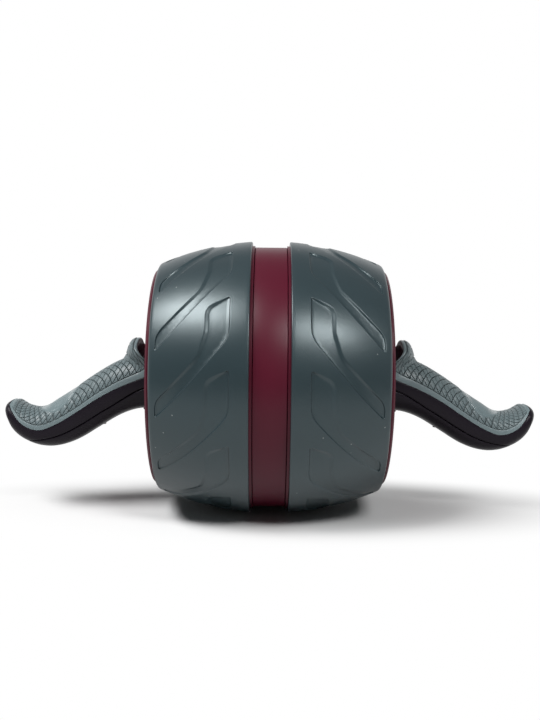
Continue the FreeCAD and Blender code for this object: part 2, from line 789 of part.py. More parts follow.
def handle_hollows():
    """Everything that is cut out of the handle shells: cavity, socket, button hole and screw wells."""
    cavity = handle_solid(size("grip_wall") + size("shell_wall"))
    start = size("sleeve_end") + size("shell_wall")
    length = station_places()["flare"] - start
    cavity = cavity.common(Part.makeBox(length, FAR, FAR, V(start, -FAR / 2, -FAR / 2)))
    hollows = [
        Part.makeCylinder(size("sleeve_radius"), size("sleeve_end") - size("neck_x"),
                          V(size("neck_x"), 0, 0), AXLE_LINE),
        Part.makeCylinder(size("button_hole_diameter") / 2, FAR, V(size("button_x"), 0, -FAR)),
        Part.makeCylinder(size("button_flange_diameter") / 2 + size("button_clearance"), -size("flange_foot"),
                          V(size("button_x"), 0, size("flange_foot"))),
    ]
    for x in handle_screw_places():
        cavity = cavity.cut(Part.makeCylinder(size("post_diameter") / 2, FAR, V(x, 0, -FAR / 2)))
        seat = bottom_at(x) + size("handle_screw_sink")
        hollows.append(handle_screw(x))
        hollows.append(Part.makeCylinder(size("handle_screw_head") / 2, FAR, V(x, 0, seat - FAR)))
    return [cavity] + hollows


def grip_space():
    """Room that the grip takes up round the upper shell."""
    return grip_region().cut(handle_solid(size("grip_wall")))


def make_handles():
    grip = handle_solid(0.0).common(grip_space())
    grip = grip.fuse(hand_guard().common(grip_space())).removeSplitter()
    keep_pair(fixed_shape("right_grip", grip))

    shells = handle_solid(0.0).cut(grip_space())
    for hollow in handle_hollows():
        shells = shells.cut(hollow)
    keep_pair(fixed_shape("right_upper_shell", shells.cut(lower_region(0.0))))
    keep_pair(fixed_shape("right_lower_shell", shells.common(lower_region(size("parting_gap")))))
    keep_pair(fixed_shape("right_handle_screws",
                          Part.makeCompound([handle_screw(x) for x in handle_screw_places()])))


def make_sockets():
    outer = along_axle("socket_bar", "Sizes.sleeve_radius", "Sizes.sleeve_x", "Sizes.sleeve_length")
    bore = along_axle("socket_bore", "Sizes.bush_bore", "Sizes.sleeve_x", "Sizes.sleeve_length")
    keyed = doc.addObject("Part::Box", "socket_key")
    bind(keyed, Length="Sizes.sleeve_length", Width="2 * Sizes.axle_diameter",
         Height="Sizes.flat_width + 2 * Sizes.run_clearance", Placement__Base__x="Sizes.sleeve_x",
         Placement__Base__y="-Sizes.axle_diameter", Placement__Base__z="-Sizes.flat_width / 2 - Sizes.run_clearance")
    opening = doc.addObject("Part::Common", "socket_opening")
    opening.Base = bore
    opening.Tool = keyed
    hole = upright("socket_button_hole", "Sizes.button_hole_diameter / 2", "Sizes.button_x",
                   "-Sizes.sleeve_diameter", "Sizes.sleeve_diameter")
    keep_pair(cut("right_socket_sleeve", outer, joined("socket_cuts", [opening, hole])))


def button_bar(diameter, foot, top):
    """Upright bar at the button's place in the neck."""
    return Part.makeCylinder(diameter / 2, top - foot, V(size("button_x"), 0, foot))


def make_buttons():
    """Release button in the neck, which pushes the snap pin and its leaf spring into the axle."""
    x, radius = size("button_x"), size("button_diameter") / 2
    top, pin_foot = -size("snap_pin_drop"), -size("sleeve_radius")
    keep_pair(fixed_shape("right_snap_pin", button_bar(size("button_diameter"), pin_foot, top)))

    foot = bottom_at(x) - size("button_proud")
    stem = button_bar(size("button_diameter"), foot, size("flange_foot"))
    rims = [edge for edge in stem.Edges if isinstance(edge.Curve, Part.Circle)]
    stem = stem.makeFillet(size("button_edge"), [min(rims, key=lambda edge: edge.Curve.Center.z)])
    flange = button_bar(size("button_flange_diameter"), size("flange_foot"), size("flange_top"))
    nose = button_bar(size("button_diameter"), size("flange_top"), pin_foot - size("pin_tip_gap"))
    keep_pair(fixed_shape("right_release_button", stem.multiFuse([flange, nose]).removeSplitter()))

    thickness, width = size("leaf_thickness"), size("leaf_width")
    roof = math.sqrt((size("axle_bore") / 2) ** 2 - (width / 2) ** 2) - thickness
    bend = x - size("leaf_length")
    line = [V(x + radius, 0, roof), V(bend, 0, roof), V(x, 0, top)]
    limbs = []
    for start, end in zip(line, line[1:]):
        along = (end - start).normalize()
        across = V(-along.z, 0, along.x)
        if across.z < 0:
            across = across * -1
        corners = [start, end, end + across * thickness, start + across * thickness]
        face = Part.Face(Part.makePolygon([p - V(0, width / 2, 0) for p in corners + corners[:1]]))
        limbs.append(face.extrude(V(0, width, 0)))
    keep_pair(fixed_shape("right_button_spring", limbs[0].fuse(limbs[1]).removeSplitter()))


def check_and_write():
    doc.recompute()
    for item in doc.Objects:
        if "Invalid" in item.State or "Error" in item.State:
            raise RuntimeError(f"{item.Label} failed: {item.State}")
    for piece in nodes:
        shape = piece.Shape
        if shape.isNull() or not shape.isValid() or not shape.Solids:
            raise RuntimeError(f"{piece.Label} has no valid solid")
    os.makedirs("parts", exist_ok=True)
    for piece in nodes:
        piece.Shape.exportStep(f"parts/{piece.Label}.step")
        box = piece.Shape.BoundBox
        print(f"{piece.Label}: {len(piece.Shape.Solids)} solid, {piece.Shape.Volume / 1000:.2f} cm3, "
              f"x {box.XMin:.1f} to {box.XMax:.1f}, z {box.ZMin:.1f} to {box.ZMax:.1f}")


make_treads()
make_drum()
make_side_covers()
make_screws()
make_axle()
make_arbor()
make_power_spring()
make_handles()
make_sockets()
make_buttons()
check_and_write()
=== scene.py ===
"""Dress the ab roller: treads, band, grips, shells and leaf springs, their finishes and a plain stage."""
import contextlib
import json
import math

import bpy
from mathutils import Color, Matrix, Vector
from mathutils.geometry import delaunay_2d_cdt, interpolate_bezier
from mathutils.kdtree import KDTree


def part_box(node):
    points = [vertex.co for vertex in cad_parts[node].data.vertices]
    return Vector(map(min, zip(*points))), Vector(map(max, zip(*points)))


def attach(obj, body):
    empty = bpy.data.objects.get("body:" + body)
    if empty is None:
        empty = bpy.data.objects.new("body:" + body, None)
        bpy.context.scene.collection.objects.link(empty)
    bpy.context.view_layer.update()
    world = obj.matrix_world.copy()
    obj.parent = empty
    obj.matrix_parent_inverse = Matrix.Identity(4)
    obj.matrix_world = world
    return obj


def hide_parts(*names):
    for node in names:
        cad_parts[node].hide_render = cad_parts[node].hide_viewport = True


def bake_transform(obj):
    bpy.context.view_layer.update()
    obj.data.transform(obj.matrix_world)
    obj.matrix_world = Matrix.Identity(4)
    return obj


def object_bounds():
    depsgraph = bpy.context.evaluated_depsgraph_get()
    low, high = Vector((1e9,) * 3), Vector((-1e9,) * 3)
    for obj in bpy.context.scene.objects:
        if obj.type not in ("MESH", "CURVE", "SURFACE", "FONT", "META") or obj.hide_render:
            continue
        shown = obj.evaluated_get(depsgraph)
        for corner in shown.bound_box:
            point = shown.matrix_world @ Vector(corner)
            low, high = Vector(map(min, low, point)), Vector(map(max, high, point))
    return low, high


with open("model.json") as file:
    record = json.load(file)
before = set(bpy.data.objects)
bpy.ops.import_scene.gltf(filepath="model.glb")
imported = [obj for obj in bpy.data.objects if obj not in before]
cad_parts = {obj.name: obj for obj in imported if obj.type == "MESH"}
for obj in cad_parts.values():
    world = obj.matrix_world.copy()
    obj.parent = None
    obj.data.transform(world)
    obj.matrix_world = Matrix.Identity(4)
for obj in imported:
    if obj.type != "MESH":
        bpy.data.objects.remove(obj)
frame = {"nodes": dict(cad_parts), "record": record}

bl_info = {
    "name": "Ab roller",
    "version": (1, 0, 0),
    "blender": (4, 5, 0),
    "location": "View3D > Sidebar > Roller",
    "description": "Builds the looks of a wide-barrel ab roller round its packed frame",
    "category": "Object",
}

MM = 0.001
CAD_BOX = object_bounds()
TREAD_LOW, TREAD_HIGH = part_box("right_tread")
BAND_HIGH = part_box("centre_band")[1]
FLOOR_LEVEL = TREAD_LOW[2]
BARREL, HANDLES = "barrel", "handles_and_axle"
DOUBLES, RING_ROOM = 0.001 * MM, 0.01 * MM

# Recess of a tread: roundings of its corners in millimetres, widths of its walls and the flat margin round it
GROOVE_ROUNDINGS = {"point": 1.2, "pocket": 9.0, "side": 14.0, "shoulder": 18.0, "tail": 16.0, "tip": 0.9,
                    "belly": 18.0}
CRISP_WALL, SOFT_WALL, GROOVE_MARGIN = 0.65 * MM, 3.2 * MM, 0.35 * MM
# Section of its wall: shares of the width, with the share of the depth that is reached there
GROOVE_WALL = ((0.0, 0.0), (0.14, 0.07), (0.34, 0.32), (0.66, 0.74), (0.86, 0.95), (1.0, 1.0))
# Border between one recess and the next: distances from the mid-plane and round the crown, in millimetres
SECTOR_BORDER = ((13.0, 38.0), (25.0, 40.0), (41.0, 53.0), (55.0, 75.0), (72.0, 98.0), (77.0, 104.0))
# Mesh of the tread: steps along a recess, clear share of the spacing round it, rounded edges and seat
GROOVE_STEP, ARC_STEP = 1.4 * MM, math.radians(12)
CLEAR_SHARE, MESH_TOLERANCE = 0.62, 1e-9
EDGE_FULLNESS, EDGE_STEPS, SEAT_STEPS = 0.6, 6, 4

BAND_WALL, BAND_EDGE, BAND_EDGE_STEPS, BAND_SIDES = 3.0 * MM, 0.5 * MM, 3, 256

# Handle sections in millimetres: distance from the mid-plane, top line, depth, width
HANDLE_STATIONS = {
    "neck": (80.5, 14.5, 36.5, 38.0),
    "throat": (93.8, 14.2, 37.4, 38.0),
    "shoulder": (105.8, 11.0, 38.5, 37.5),
    "upper_palm": (119.8, 3.3, 39.1, 36.5),
    "palm": (135.8, -7.4, 38.1, 35.5),
    "heel": (149.8, -16.4, 33.9, 35.0),
    "dip": (161.8, -23.3, 26.9, 36.0),
    "flare": (172.8, -22.3, 23.4, 38.5),
    "tail": (180.8, -18.0, 20.6, 36.0),
    "edge": (185.1, -19.3, 9.4, 27.0),
    "tip": (186.3, -21.5, 3.5, 12.0),
}
SECTION_KNOTS = [
    [(station[0], station[column]) for station in HANDLE_STATIONS.values()] for column in (1, 2, 3)]
SECTION_FULLNESS = 2.3
NECK, TIP = HANDLE_STATIONS["neck"][0], HANDLE_STATIONS["tip"][0]
# Lower edge of the grip, height of the smooth strip above it and groove between the shells, in millimetres
GRIP_EDGE = ((82.0, 3.4), (88.5, 1.0), (105.8, -6.3), (119.8, -13.9), (135.8, -24.5), (149.8, -32.8),
             (161.8, -36.7), (172.8, -32.0), (180.8, -22.0), (182.5, -19.8))
SMOOTH_STRIP = ((82.0, 5.0), (107.0, 4.4), (136.0, 3.4), (162.0, 3.5), (174.0, 3.2), (182.5, 1.6))
PARTING_LINE = ((80.5, -4.8), (87.7, -6.5), (94.1, -9.3), (102.0, -14.1), (110.0, -19.3), (118.0, -24.1),
                (126.0, -29.3), (134.0, -34.2), (142.0, -38.6), (150.0, -41.8), (158.0, -43.8),
                (165.0, -44.7), (172.8, -45.7))
PARTING_END = PARTING_LINE[-1][0]

# Side view of the hand guard at its top: outer slope, lip and hollow as (distance, rise) Bezier corners
GUARD_SLOPE = ((104.8, 0.0), (100.2, 0.2), (101.8, 12.6), (94.4, 12.8))
GUARD_LIP = ((94.4, 12.8), (92.4, 13.0), (91.4, 12.4), (91.8, 10.4))
GUARD_HOLLOW = ((91.8, 10.4), (92.2, 7.0), (96.0, 5.0), (97.6, -2.0))
GUARD_STEPS = 8
# Turns from the ridge over which the guard's shape and rise die away, and room between its folded walls
NOTCH_FADE = math.radians(24), math.radians(58)
GUARD_FADE = math.radians(22), math.radians(78)
FOLD_ROOM = 0.08

# Scales: places inside one scale, half its lengthwise line as a share of it, marks of the smooth strip
SCALE_MIDDLES, SCALE_GAP = (0.36, 0.64), 0.1
STRIP_MARKS = 1.1, 1.4, 1.7, 2.0
# Cross lines: rounding on the ridge, power of their curve, where their lean begins to fade
RIDGE_ROUNDING, LEAN_POWER, LEAN_FADE = 0.12, 1.6, 145.0
# Where the scales grow shorter and the cross lines fainter towards the tail, and where the relief ends
TAIL_SCALES, TAIL_LINES, TAIL_LINE_LOSS, RELIEF_FADE = (146.0, 166.0), (150.0, 168.0), 0.35, 1.0
LENGTHWISE_LINE, PILLOW = 0.85, 0.12 * MM
# Steps to the neighbours that give a normal: along a guard curve, along the body, across
CURVE_STEP, BODY_STEP, MARK_STEP = 0.02, 0.3, 0.02

# Bare oval from its foot inwards: shares of its length and width, and height above the grip in millimetres
OVAL_PROFILE = ((1.0, 1.0, -2.0), (1.04, 1.04, -0.3), (1.02, 1.02, 0.3), (0.985, 0.985, 0.45),
                (0.95, 0.955, 0.3), (0.92, 0.93, 0.05), (0.57, 0.87, 0.03), (0.54, 0.845, -0.05),
                (0.51, 0.81, -0.55), (0.35, 0.55, -0.62), (0.17, 0.27, -0.62), (0.05, 0.08, -0.62))
# Height below which the dish's floor lies, painted shade on that sunk floor, and steps round the oval
OVAL_FLOOR, OVAL_FLOOR_PAINTED_SHADE, OVAL_STEPS = -0.5, 0.6, 72
OVAL_FADE = 1.0, 1.06

# Rounded edges of the shells: distance along the surface from the edge, and depth below it, in millimetres
GRIP_SEAT = ((-0.4, 2.3), (0.0, 1.0), (0.12, 0.35), (0.45, 0.08), (0.9, 0.0))
UPPER_LIP = ((-1.1, 0.0), (-0.6, 0.1), (-0.25, 0.4), (-0.05, 1.0), (0.0, 2.5))
LOWER_LIP = ((0.3, 1.9), (0.35, 1.0), (0.55, 0.4), (0.9, 0.1), (1.4, 0.0))
# Millimetres over which the rim closes and the groove runs out, and where plain rows end before that
RIM_RISE, PARTING_FADE, BEFORE_FADE, LOWER_STOP = 0.5, 0.6, 0.8, 0.9
# Mesh of the shells: steps along them, along the fades and along the tail, and steps round each half
SHELL_STEPS, FADE_STEPS, TAIL_STEPS = 60, 3, 10
SEAT_ROUND, SIDE_ROUND, BELLY_ROUND, LOWER_ROUND = 8, 6, 5, 7
# Drilling: screws along the handle in millimetres, reach of the drill, sides of a hole, room round a button
SCREW_PLACES = 119.8, 142.8
WELL_REACH, DRILL_BELOW, DRILL_ABOVE = 80.0 * MM, 10.0 * MM, 5.0 * MM
HOLE_SIDES, BUTTON_ROOM = 48, 0.4 * MM
LEAF_STEPS = 12

# Lamps: bearing to the right of the front, height and lean in degrees; distance, width and depth in metres
LAMPS = {
    "key": (-59, 54, 12, 1.25, 0.7, 0.34),
    "front": (30, 43, -25, 1.25, 0.5, 0.26),
    "top": (0, 90, 0, 1.3, 1.6, 1.2),
}
# Paper: stretch of its plan, distances over which it turns white, shades for the light and for the camera
SHADOW_PLAN, SHADOW_FADE = (0.6, 1.7, 0.0), (0.06, 0.165)
PAPER_LIT, PAPER_SEEN, WHITE = (0.6, 0.6, 0.6, 1), (0.76, 0.76, 0.76, 1), (1, 1, 1, 1)
# Reflections: where the paper turns white, and where the room is dark behind the camera and overhead
PAPER_FRONT, ROOM_BACK, ROOM_CEILING = (-0.6, -0.3), (-0.6, 0.1), (0.3, 0.75)
FILM_HEIGHT = 36.0


# Sizes and colours that a user would change

def length(name, description, millimetres):
    return bpy.props.FloatProperty(
        name=name, description=description, default=millimetres * MM, unit="LENGTH")


def turn(name, description, degrees):
    return bpy.props.FloatProperty(
        name=name, description=description, default=math.radians(degrees), subtype="ANGLE")


def plain_number(name, description, amount):
    return bpy.props.FloatProperty(name=name, description=description, default=amount)


def count(name, description, amount):
    return bpy.props.IntProperty(name=name, description=description, default=amount, min=1)


def colour(name, description, red, green, blue):
    """Colour property given as the 0 to 255 values that a picture shows."""
    linear = Color([part / 255 for part in (red, green, blue)]).from_srgb_to_scene_linear()
    return bpy.props.FloatVectorProperty(
        name=name, description=description, default=(*linear, 1.0), size=4, subtype="COLOR", min=0, max=1)


class RollerTread(bpy.types.PropertyGroup):
    """Sizes of the rubber treads and of the recesses moulded into them."""
    crown_radius: length("Crown radius", "Radius of the tread at its inner end", 95.0)
    crown_arc: length("Crown arc", "Radius of the tread's curve along the axle", 190.0)
    wall: length("Wall", "Thickness of the rubber", 5.0)
    outer_rounding: length("Outer rounding", "Rounding of the edge beside the rim", 3.0)
    inner_rounding: length("Inner rounding", "Rounding of the edge beside the band", 0.8)
    grooves: count("Grooves", "Recesses round each tread", 12)
    groove_depth: length("Groove depth", "Depth of a recess", 1.0)
    groove_phase: turn("Groove phase", "Place of the first recess above the front", 10.5)
    groove_inset: length("Groove inset", "From the inner end to the pocket", 12.0)
    groove_width: length("Groove width", "Width of the pocket", 16.0)
    groove_skew: length("Groove skew", "Slope of the pocket's upper edge", 6.2)
    groove_straight: length("Groove straight", "Length of the pocket's outer side", 24.5)
    groove_shoulder: length("Groove shoulder", "Where the tail's upper side begins", 40.5)
    groove_bend: length("Groove bend", "How far the outer side leans out at the shoulder", 4.3)
    tail_inset: length("Tail inset", "From the tail's end to the outer end of the tread", 4.3)
    tail_length: length("Tail length", "From the pocket's top to the end of the tail", 86.2)
    tail_height: length("Tail height", "Height of the tail's blunt end", 13.0)
    spacing: length("Spacing", "Distance between mesh points on the crown", 2.0)


class RollerHandle(bpy.types.PropertyGroup):
    """Sizes of the grips' relief, hand guard and bare oval, of the shells and of the leaf springs."""
    grip_start: length("Grip start", "Where the grip begins beside the barrel", 82.0)
    grip_end: length("Grip end", "Where the grip ends inside the shell's rim", 182.5)
    wall: length("Wall", "Thickness of the grip", 2.2)
    shell_wall: length("Shell wall", "Thickness of the lower shell", 2.0)
    screw_well: length("Screw well", "Radius of the wells round the shell screws", 3.0)
    leaf: length("Leaf", "Thickness of the leaf springs on the snap pins", 0.8)
    leaf_root: length("Leaf root", "Stiff length of the leaf springs at their bend", 3.0)
    scale_length: length("Scale length", "Length of one scale along the grip", 4.25)
    scales_a_side: count("Scales a side", "Scales down each side", 6)
    guard_scales: count("Guard scales", "Rows of scales on the guard", 3)
    tail_scale: length("Tail scale", "Length of one scale at the tail", 2.6)
    scale_height: length("Scale height", "Height of the scales above the smooth strip", 0.35)
    line_depth: length("Line depth", "Depth of the lines below the smooth strip", 0.35)
    line_width: length("Line width", "Half width of the lines between the scales", 0.46)
    lean: length("Lean", "How far the cross lines bow towards the tail on top", 13.0)
    relief_end: length("Relief end", "Where the relief ends before the tail", 180.6)
    guard_start: length("Guard start", "Where the hand guard begins to rise", 104.8)
    guard_reach: length("Guard reach", "Where the scales end on the sides below the guard", 83.4)
    oval_place: length("Oval place", "Middle of the bare oval", 148.0)
    oval_length: length("Oval length", "Half length of the bare oval", 14.0)
    oval_width: length("Oval width", "Half width of the bare oval", 15.3)


class RollerColours(bpy.types.PropertyGroup):
    """Colours of the finishes."""
    slate: colour("Slate", "Rubber of the treads", 28, 43, 48)
    dust: colour("Dust", "Specks of dust on the treads", 168, 172, 170)
    maroon: colour("Maroon", "Plastic of the drum, band and rims", 74, 8, 30)
    grey: colour("Grey", "Rubber of the grips", 104, 118, 121)
    black: colour("Black", "Plastic of the handle shells", 22, 16, 25)
    white: colour("White", "Nylon of the bushes", 214, 210, 198)
    steel: colour("Steel", "Axle, sleeves and washers", 168, 170, 174)
    spring: colour("Spring", "Tempered strip of the springs", 92, 96, 108)
    zinc: colour("Zinc", "Plated screws", 186, 188, 184)


class RollerStage(bpy.types.PropertyGroup):
    """Camera and light."""
    distance: length("Distance", "From the camera to the axle", 650.0)
    elevation: turn("Elevation", "Height of the camera above the axle", 8.0)
    roll: turn("Roll", "Lean of the camera about its view", 0.6)
    lens: plain_number("Lens", "Focal length in millimetres on a 36 mm high frame", 45.7)
    rise: plain_number("Rise", "Vertical shift of the picture", 0.0236)
    key_power: plain_number("Key power", "Strength of the lamp at the upper left", 17.0)
    front_power: plain_number("Front power", "Strength of the lower lamp at the right", 8.5)
    top_power: plain_number("Top power", "Strength of the lamp overhead", 0.5)
    ambient: plain_number("Ambient", "Light from all round", 0.07)
    paper: length("Paper", "Width of the floor paper", 8000.0)
    room: plain_number("Room", "Brightness of the room above and behind the camera in reflections", 0.3)


def props(group):
    return getattr(bpy.context.scene, f"roller_{group}")


# Selecting and modelling by hand

def deselect():
    if bpy.context.mode != "OBJECT":
        bpy.ops.object.mode_set(mode="OBJECT")
    bpy.ops.object.select_all(action="DESELECT")


def activate(piece):
    deselect()
    piece.select_set(True)
    bpy.context.view_layer.objects.active = piece


@contextlib.contextmanager
def editing(piece):
    """Edit mode on one piece, with all of it selected."""
    activate(piece)
    bpy.ops.object.mode_set(mode="EDIT")
    bpy.ops.mesh.select_all(action="SELECT")
    yield
    bpy.ops.object.mode_set(mode="OBJECT")


def pick_ring(piece, x):
    """Select the points at a distance from the mid-plane, from edit mode."""
    bpy.ops.mesh.select_mode(type="VERT")
    bpy.ops.mesh.select_all(action="DESELECT")
    bpy.ops.object.mode_set(mode="OBJECT")
    for point in piece.data.vertices:
        point.select = abs(point.co.x - x) < RING_ROOM
    bpy.ops.object.mode_set(mode="EDIT")


def extrude_along(profile):
    """Extrude the selected ring about the axle through (x, radius) places, from edit mode."""
    for (x, radius), (new_x, new_radius) in zip(profile, profile[1:]):
        bpy.ops.mesh.extrude_edges_move(TRANSFORM_OT_translate={"value": (new_x - x, 0, 0)})
        share = new_radius / radius
        bpy.ops.transform.resize(value=(1, share, share), center_override=(new_x, 0, 0))


def face_outwards():
    """Merge doubles and turn the faces outwards, from edit mode."""
    bpy.ops.mesh.select_all(action="SELECT")
    bpy.ops.mesh.remove_doubles(threshold=DOUBLES)
    bpy.ops.mesh.normals_make_consistent(inside=False)


def bridge_rims():
    """Close a piece between its two open rims, from edit mode."""
    bpy.ops.mesh.select_all(action="DESELECT")
    bpy.ops.mesh.select_mode(type="EDGE")
    bpy.ops.mesh.select_non_manifold()
    bpy.ops.mesh.bridge_edge_loops()
    face_outwards()


def bake_place(piece):
    activate(piece)
    bpy.ops.object.transform_apply(location=True, rotation=True, scale=True)


def add_modifier(piece, kind, **settings):
    """Add a modifier and apply it at once."""
    activate(piece)
    modifier = piece.modifiers.new(kind.title(), kind)
    for name, value in settings.items():
        setattr(modifier, name, value)
    bpy.ops.object.modifier_apply(modifier=modifier.name)


def smooth(piece, degrees):
    activate(piece)
    bpy.ops.object.shade_smooth_by_angle(angle=math.radians(degrees))


def mirrored(piece, name):
    """Mirror image of a piece across the mid-plane, with its own mesh."""
    activate(piece)
    bpy.ops.object.duplicate()
    copy = bpy.context.object
    copy.name = name
    copy.data.name = name
    copy.scale.x = -1
    bake_place(copy)
    with editing(copy):
        bpy.ops.mesh.normals_make_consistent(inside=False)
    return copy


def new_mesh_piece(name, points, faces):
    mesh = bpy.data.meshes.new(name)
    mesh.from_pydata(points, [], faces)
    mesh.update()
    piece = bpy.data.objects.new(name, mesh)
    bpy.context.collection.objects.link(piece)
    return piece


def loft(name, rings, ends, breaks=(), **paint):
    """Closed piece through rings of places in millimetres, with end faces and values painted on its points.

    The rings in breaks lie on the ring that follows, so no faces join the two."""
    across = len(rings[0])
    faces = []
    for row in range(len(rings) - 1):
        for column in range(0 if row in breaks else across):
            a, b = row * across + column, row * across + (column + 1) % across
            faces.append((a, b, b + across, a + across))
    for start in (0, (len(rings) - 1) * across):
        faces += [tuple(start + corner for corner in end) for end in ends]
    piece = new_mesh_piece(name, [place * MM for ring in rings for place in ring], faces)
    for kind, values in paint.items():
        piece.data.attributes.new(kind, "FLOAT", "POINT").data.foreach_set("value", values)
    with editing(piece):
        face_outwards()
    return piece


def coat(piece, slot):
    """Give a piece its finish."""
    piece.data.materials.clear()
    piece.data.materials.append(bpy.data.materials[finish_name(slot)])


def hand_over(piece, body, slot, *nodes):
    """Give a piece its finish, its body and the nodes that it stands for."""
    coat(piece, slot)
    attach(piece, body)
    if nodes:
        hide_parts(*nodes)


def hand_over_both(piece, name, body, slot, *nodes):
    """Hand over a right-hand piece and its mirror image, each with its own side's nodes."""
    piece.name = f"right_{name}"
    for half, side in ((piece, "right"), (mirrored(piece, f"left_{name}"), "left")):
        hand_over(half, body, slot, *(f"{side}_{node}" for node in nodes))


# Finishes

class Signal:
    """A shader socket that takes part in arithmetic: each operation adds its Math node."""

    def __init__(self, tree, socket=None):
        self.tree = tree
        self.socket = socket

    def node(self, kind, settings=None, sockets=None, output=0):
        """New node: its settings first, then the values or links of its sockets."""
        added = self.tree.nodes.new(kind)
        for name, value in (settings or {}).items():
            setattr(added, name, value)
        for name, value in (sockets or {}).items():
            if isinstance(value, Signal):
                self.tree.links.new(value.socket, added.inputs[name])
            else:
                added.inputs[name].default_value = value
        return Signal(self.tree, added.outputs[output]) if len(added.outputs) else None

    def maths(self, operation, first, second):
        return self.node("ShaderNodeMath", {"operation": operation}, {0: first, 1: second})

    def __add__(self, other):
        return self.maths("ADD", self, other)

    __radd__ = __add__

    def __sub__(self, other):
        return self.maths("SUBTRACT", self, other)

    def __rsub__(self, other):
        return self.maths("SUBTRACT", other, self)

    def __mul__(self, other):
        return self.maths("MULTIPLY", self, other)

    __rmul__ = __mul__

    def below(self, limit):
        return self.maths("LESS_THAN", self, limit)

    def above(self, limit):
        return self.maths("GREATER_THAN", self, limit)


def noise(place, scale, detail=2.0):
    return place.node(
        "ShaderNodeTexNoise", sockets={"Vector": place, "Scale": scale, "Detail": detail}, output="Fac")


def painted(place, name):
    """Value painted on the points of a piece."""
    return place.node("ShaderNodeAttribute", {"attribute_name": name}, output="Fac")


def mix(share, first, second):
    """Blend of two colours, through the Mix node's colour sockets."""
    first_colour, second_colour, result = 6, 7, 2
    return share.node("ShaderNodeMix", {"data_type": "RGBA", "clamp_factor": True},
                      {"Factor": share, first_colour: first, second_colour: second}, result)


def shaded(tint, share):
    """A colour made darker or lighter."""
    return (*(min(1.0, c * share) for c in tint[:3]), 1.0)


def mottled(share, tint, dark, light):
    """A colour that wanders between a darker and a lighter one."""
    return mix(share, shaded(tint, dark), shaded(tint, light))


def finish_name(slot):
    return f"{slot}_finish"


def start_material(name):
    """New material with nothing but its coordinates."""
    material = bpy.data.materials.new(name)
    material.use_nodes = True
    material.node_tree.nodes.clear()
    return Signal(material.node_tree).node("ShaderNodeTexCoord", output="Object")


def close_finish(place, grain, depth, strength, **sockets):
    """Principled shader with a bump from the grain, its depth in millimetres."""
    bump = place.node(
        "ShaderNodeBump", sockets={"Strength": strength, "Distance": depth * MM, "Height": grain})
    named = {name.replace("_", " "): value for name, value in sockets.items()}
    shader = place.node("ShaderNodeBsdfPrincipled", sockets={**named, "Normal": bump})
    place.node("ShaderNodeOutputMaterial", sockets={"Surface": shader})


def tread_rubber_finish(colours):
    """Satin slate rubber: faint flow marks, fine pores and a few pale specks of dust."""
    place = start_material(finish_name("tread_rubber"))
    flow = noise(place, scale=28.0, detail=3.0)
    pores = noise(place, scale=1500.0)
    speck_scale, speck_radius, speck_share, speck_strength = 330.0, 0.15, 0.018, 0.5
    distance, lot = (
        place.node("ShaderNodeTexVoronoi", {"feature": "F1"}, {"Vector": place, "Scale": speck_scale}, output)
        for output in ("Distance", "Color"))
    rare = lot.node("ShaderNodeSeparateColor", sockets={"Color": lot}, output="Red").above(1 - speck_share)
    dust = distance.below(speck_radius) * rare
    base = mottled(flow, colours.slate, dark=0.9, light=1.1)
    close_finish(place, pores, depth=0.12, strength=0.4,
                 Base_Color=mix(dust * speck_strength, base, colours.dust),
                 Roughness=0.29 + flow * 0.05 + pores * 0.05, Specular_IOR_Level=0.7,
                 Specular_Tint=(0.86, 0.98, 1.0, 1.0))


def maroon_plastic_finish(colours):
    """Semi-gloss moulded plastic with a slight orange peel."""
    place = start_material(finish_name("maroon_plastic"))
    cloud = noise(place, scale=35.0)
    peel = noise(place, scale=900.0, detail=1.0)
    close_finish(place, peel, depth=0.06, strength=0.3,
                 Base_Color=mottled(cloud, colours.maroon, dark=0.92, light=1.08),
                 Roughness=0.35 + cloud * 0.08, Specular_IOR_Level=0.24)


def grip_rubber_finish(colours):
    """Soft grey rubber, darker on the scales, with painted shade in the lines of its relief and on the oval's
    sunk floor, glossier on the bare oval.
    """
    tint = colours.grey
    place = start_material(finish_name("grip_rubber"))
    worn = noise(place, scale=60.0, detail=3.0)
    pores = noise(place, scale=2600.0)
    low, bare, scaled = (painted(place, name) for name in ("line", "bare", "scaled"))
    clean = mottled(worn, tint, dark=0.92, light=1.08)
    # Painted shade: the share of line darkens the sunk lines of the relief, as if shade lay in them
    scale_shade, painted_line_shade, painted_line_shade_cover = 0.72, 0.2, 0.8
    # The scales are darker, and the oval's sunk floor gets painted shade through the same share
    base = mix(scaled * (0.6 + worn * 0.2), clean, shaded(tint, scale_shade))
    close_finish(place, pores, depth=0.1, strength=0.25,
                 Base_Color=mix(low * painted_line_shade_cover, base, shaded(tint, painted_line_shade)),
                 Roughness=0.38 + worn * 0.1 + low * 0.2 - bare * 0.2, Specular_IOR_Level=0.45)


def black_plastic_finish(colours):
    """Dark shell plastic with a fine eroded grain."""
    place = start_material(finish_name("black_plastic"))
    cloud = noise(place, scale=45.0)
    grain = noise(place, scale=3000.0, detail=3.0)
    close_finish(place, grain, depth=0.08, strength=0.3,
                 Base_Color=mottled(cloud, colours.black, dark=0.85, light=1.2),
                 Roughness=0.3 + cloud * 0.1 + grain * 0.08, Specular_IOR_Level=0.16)


def button_plastic_finish(colours):
    """Dark button with a polished face."""
    place = start_material(finish_name("button_plastic"))
    cloud = noise(place, scale=120.0)
    close_finish(place, cloud, depth=0.04, strength=0.2,
                 Base_Color=mottled(cloud, colours.black, dark=1.1, light=1.6), Roughness=0.25 + cloud * 0.15)


def bush_nylon_finish(colours):
    """Milky nylon with grease shading."""
    place = start_material(finish_name("bush_nylon"))
    smear = noise(place, scale=160.0, detail=4.0)
    close_finish(place, smear, depth=0.05, strength=0.2,
                 Base_Color=mottled(smear, colours.white, dark=0.75, light=1.0), Roughness=0.35 + smear * 0.2)


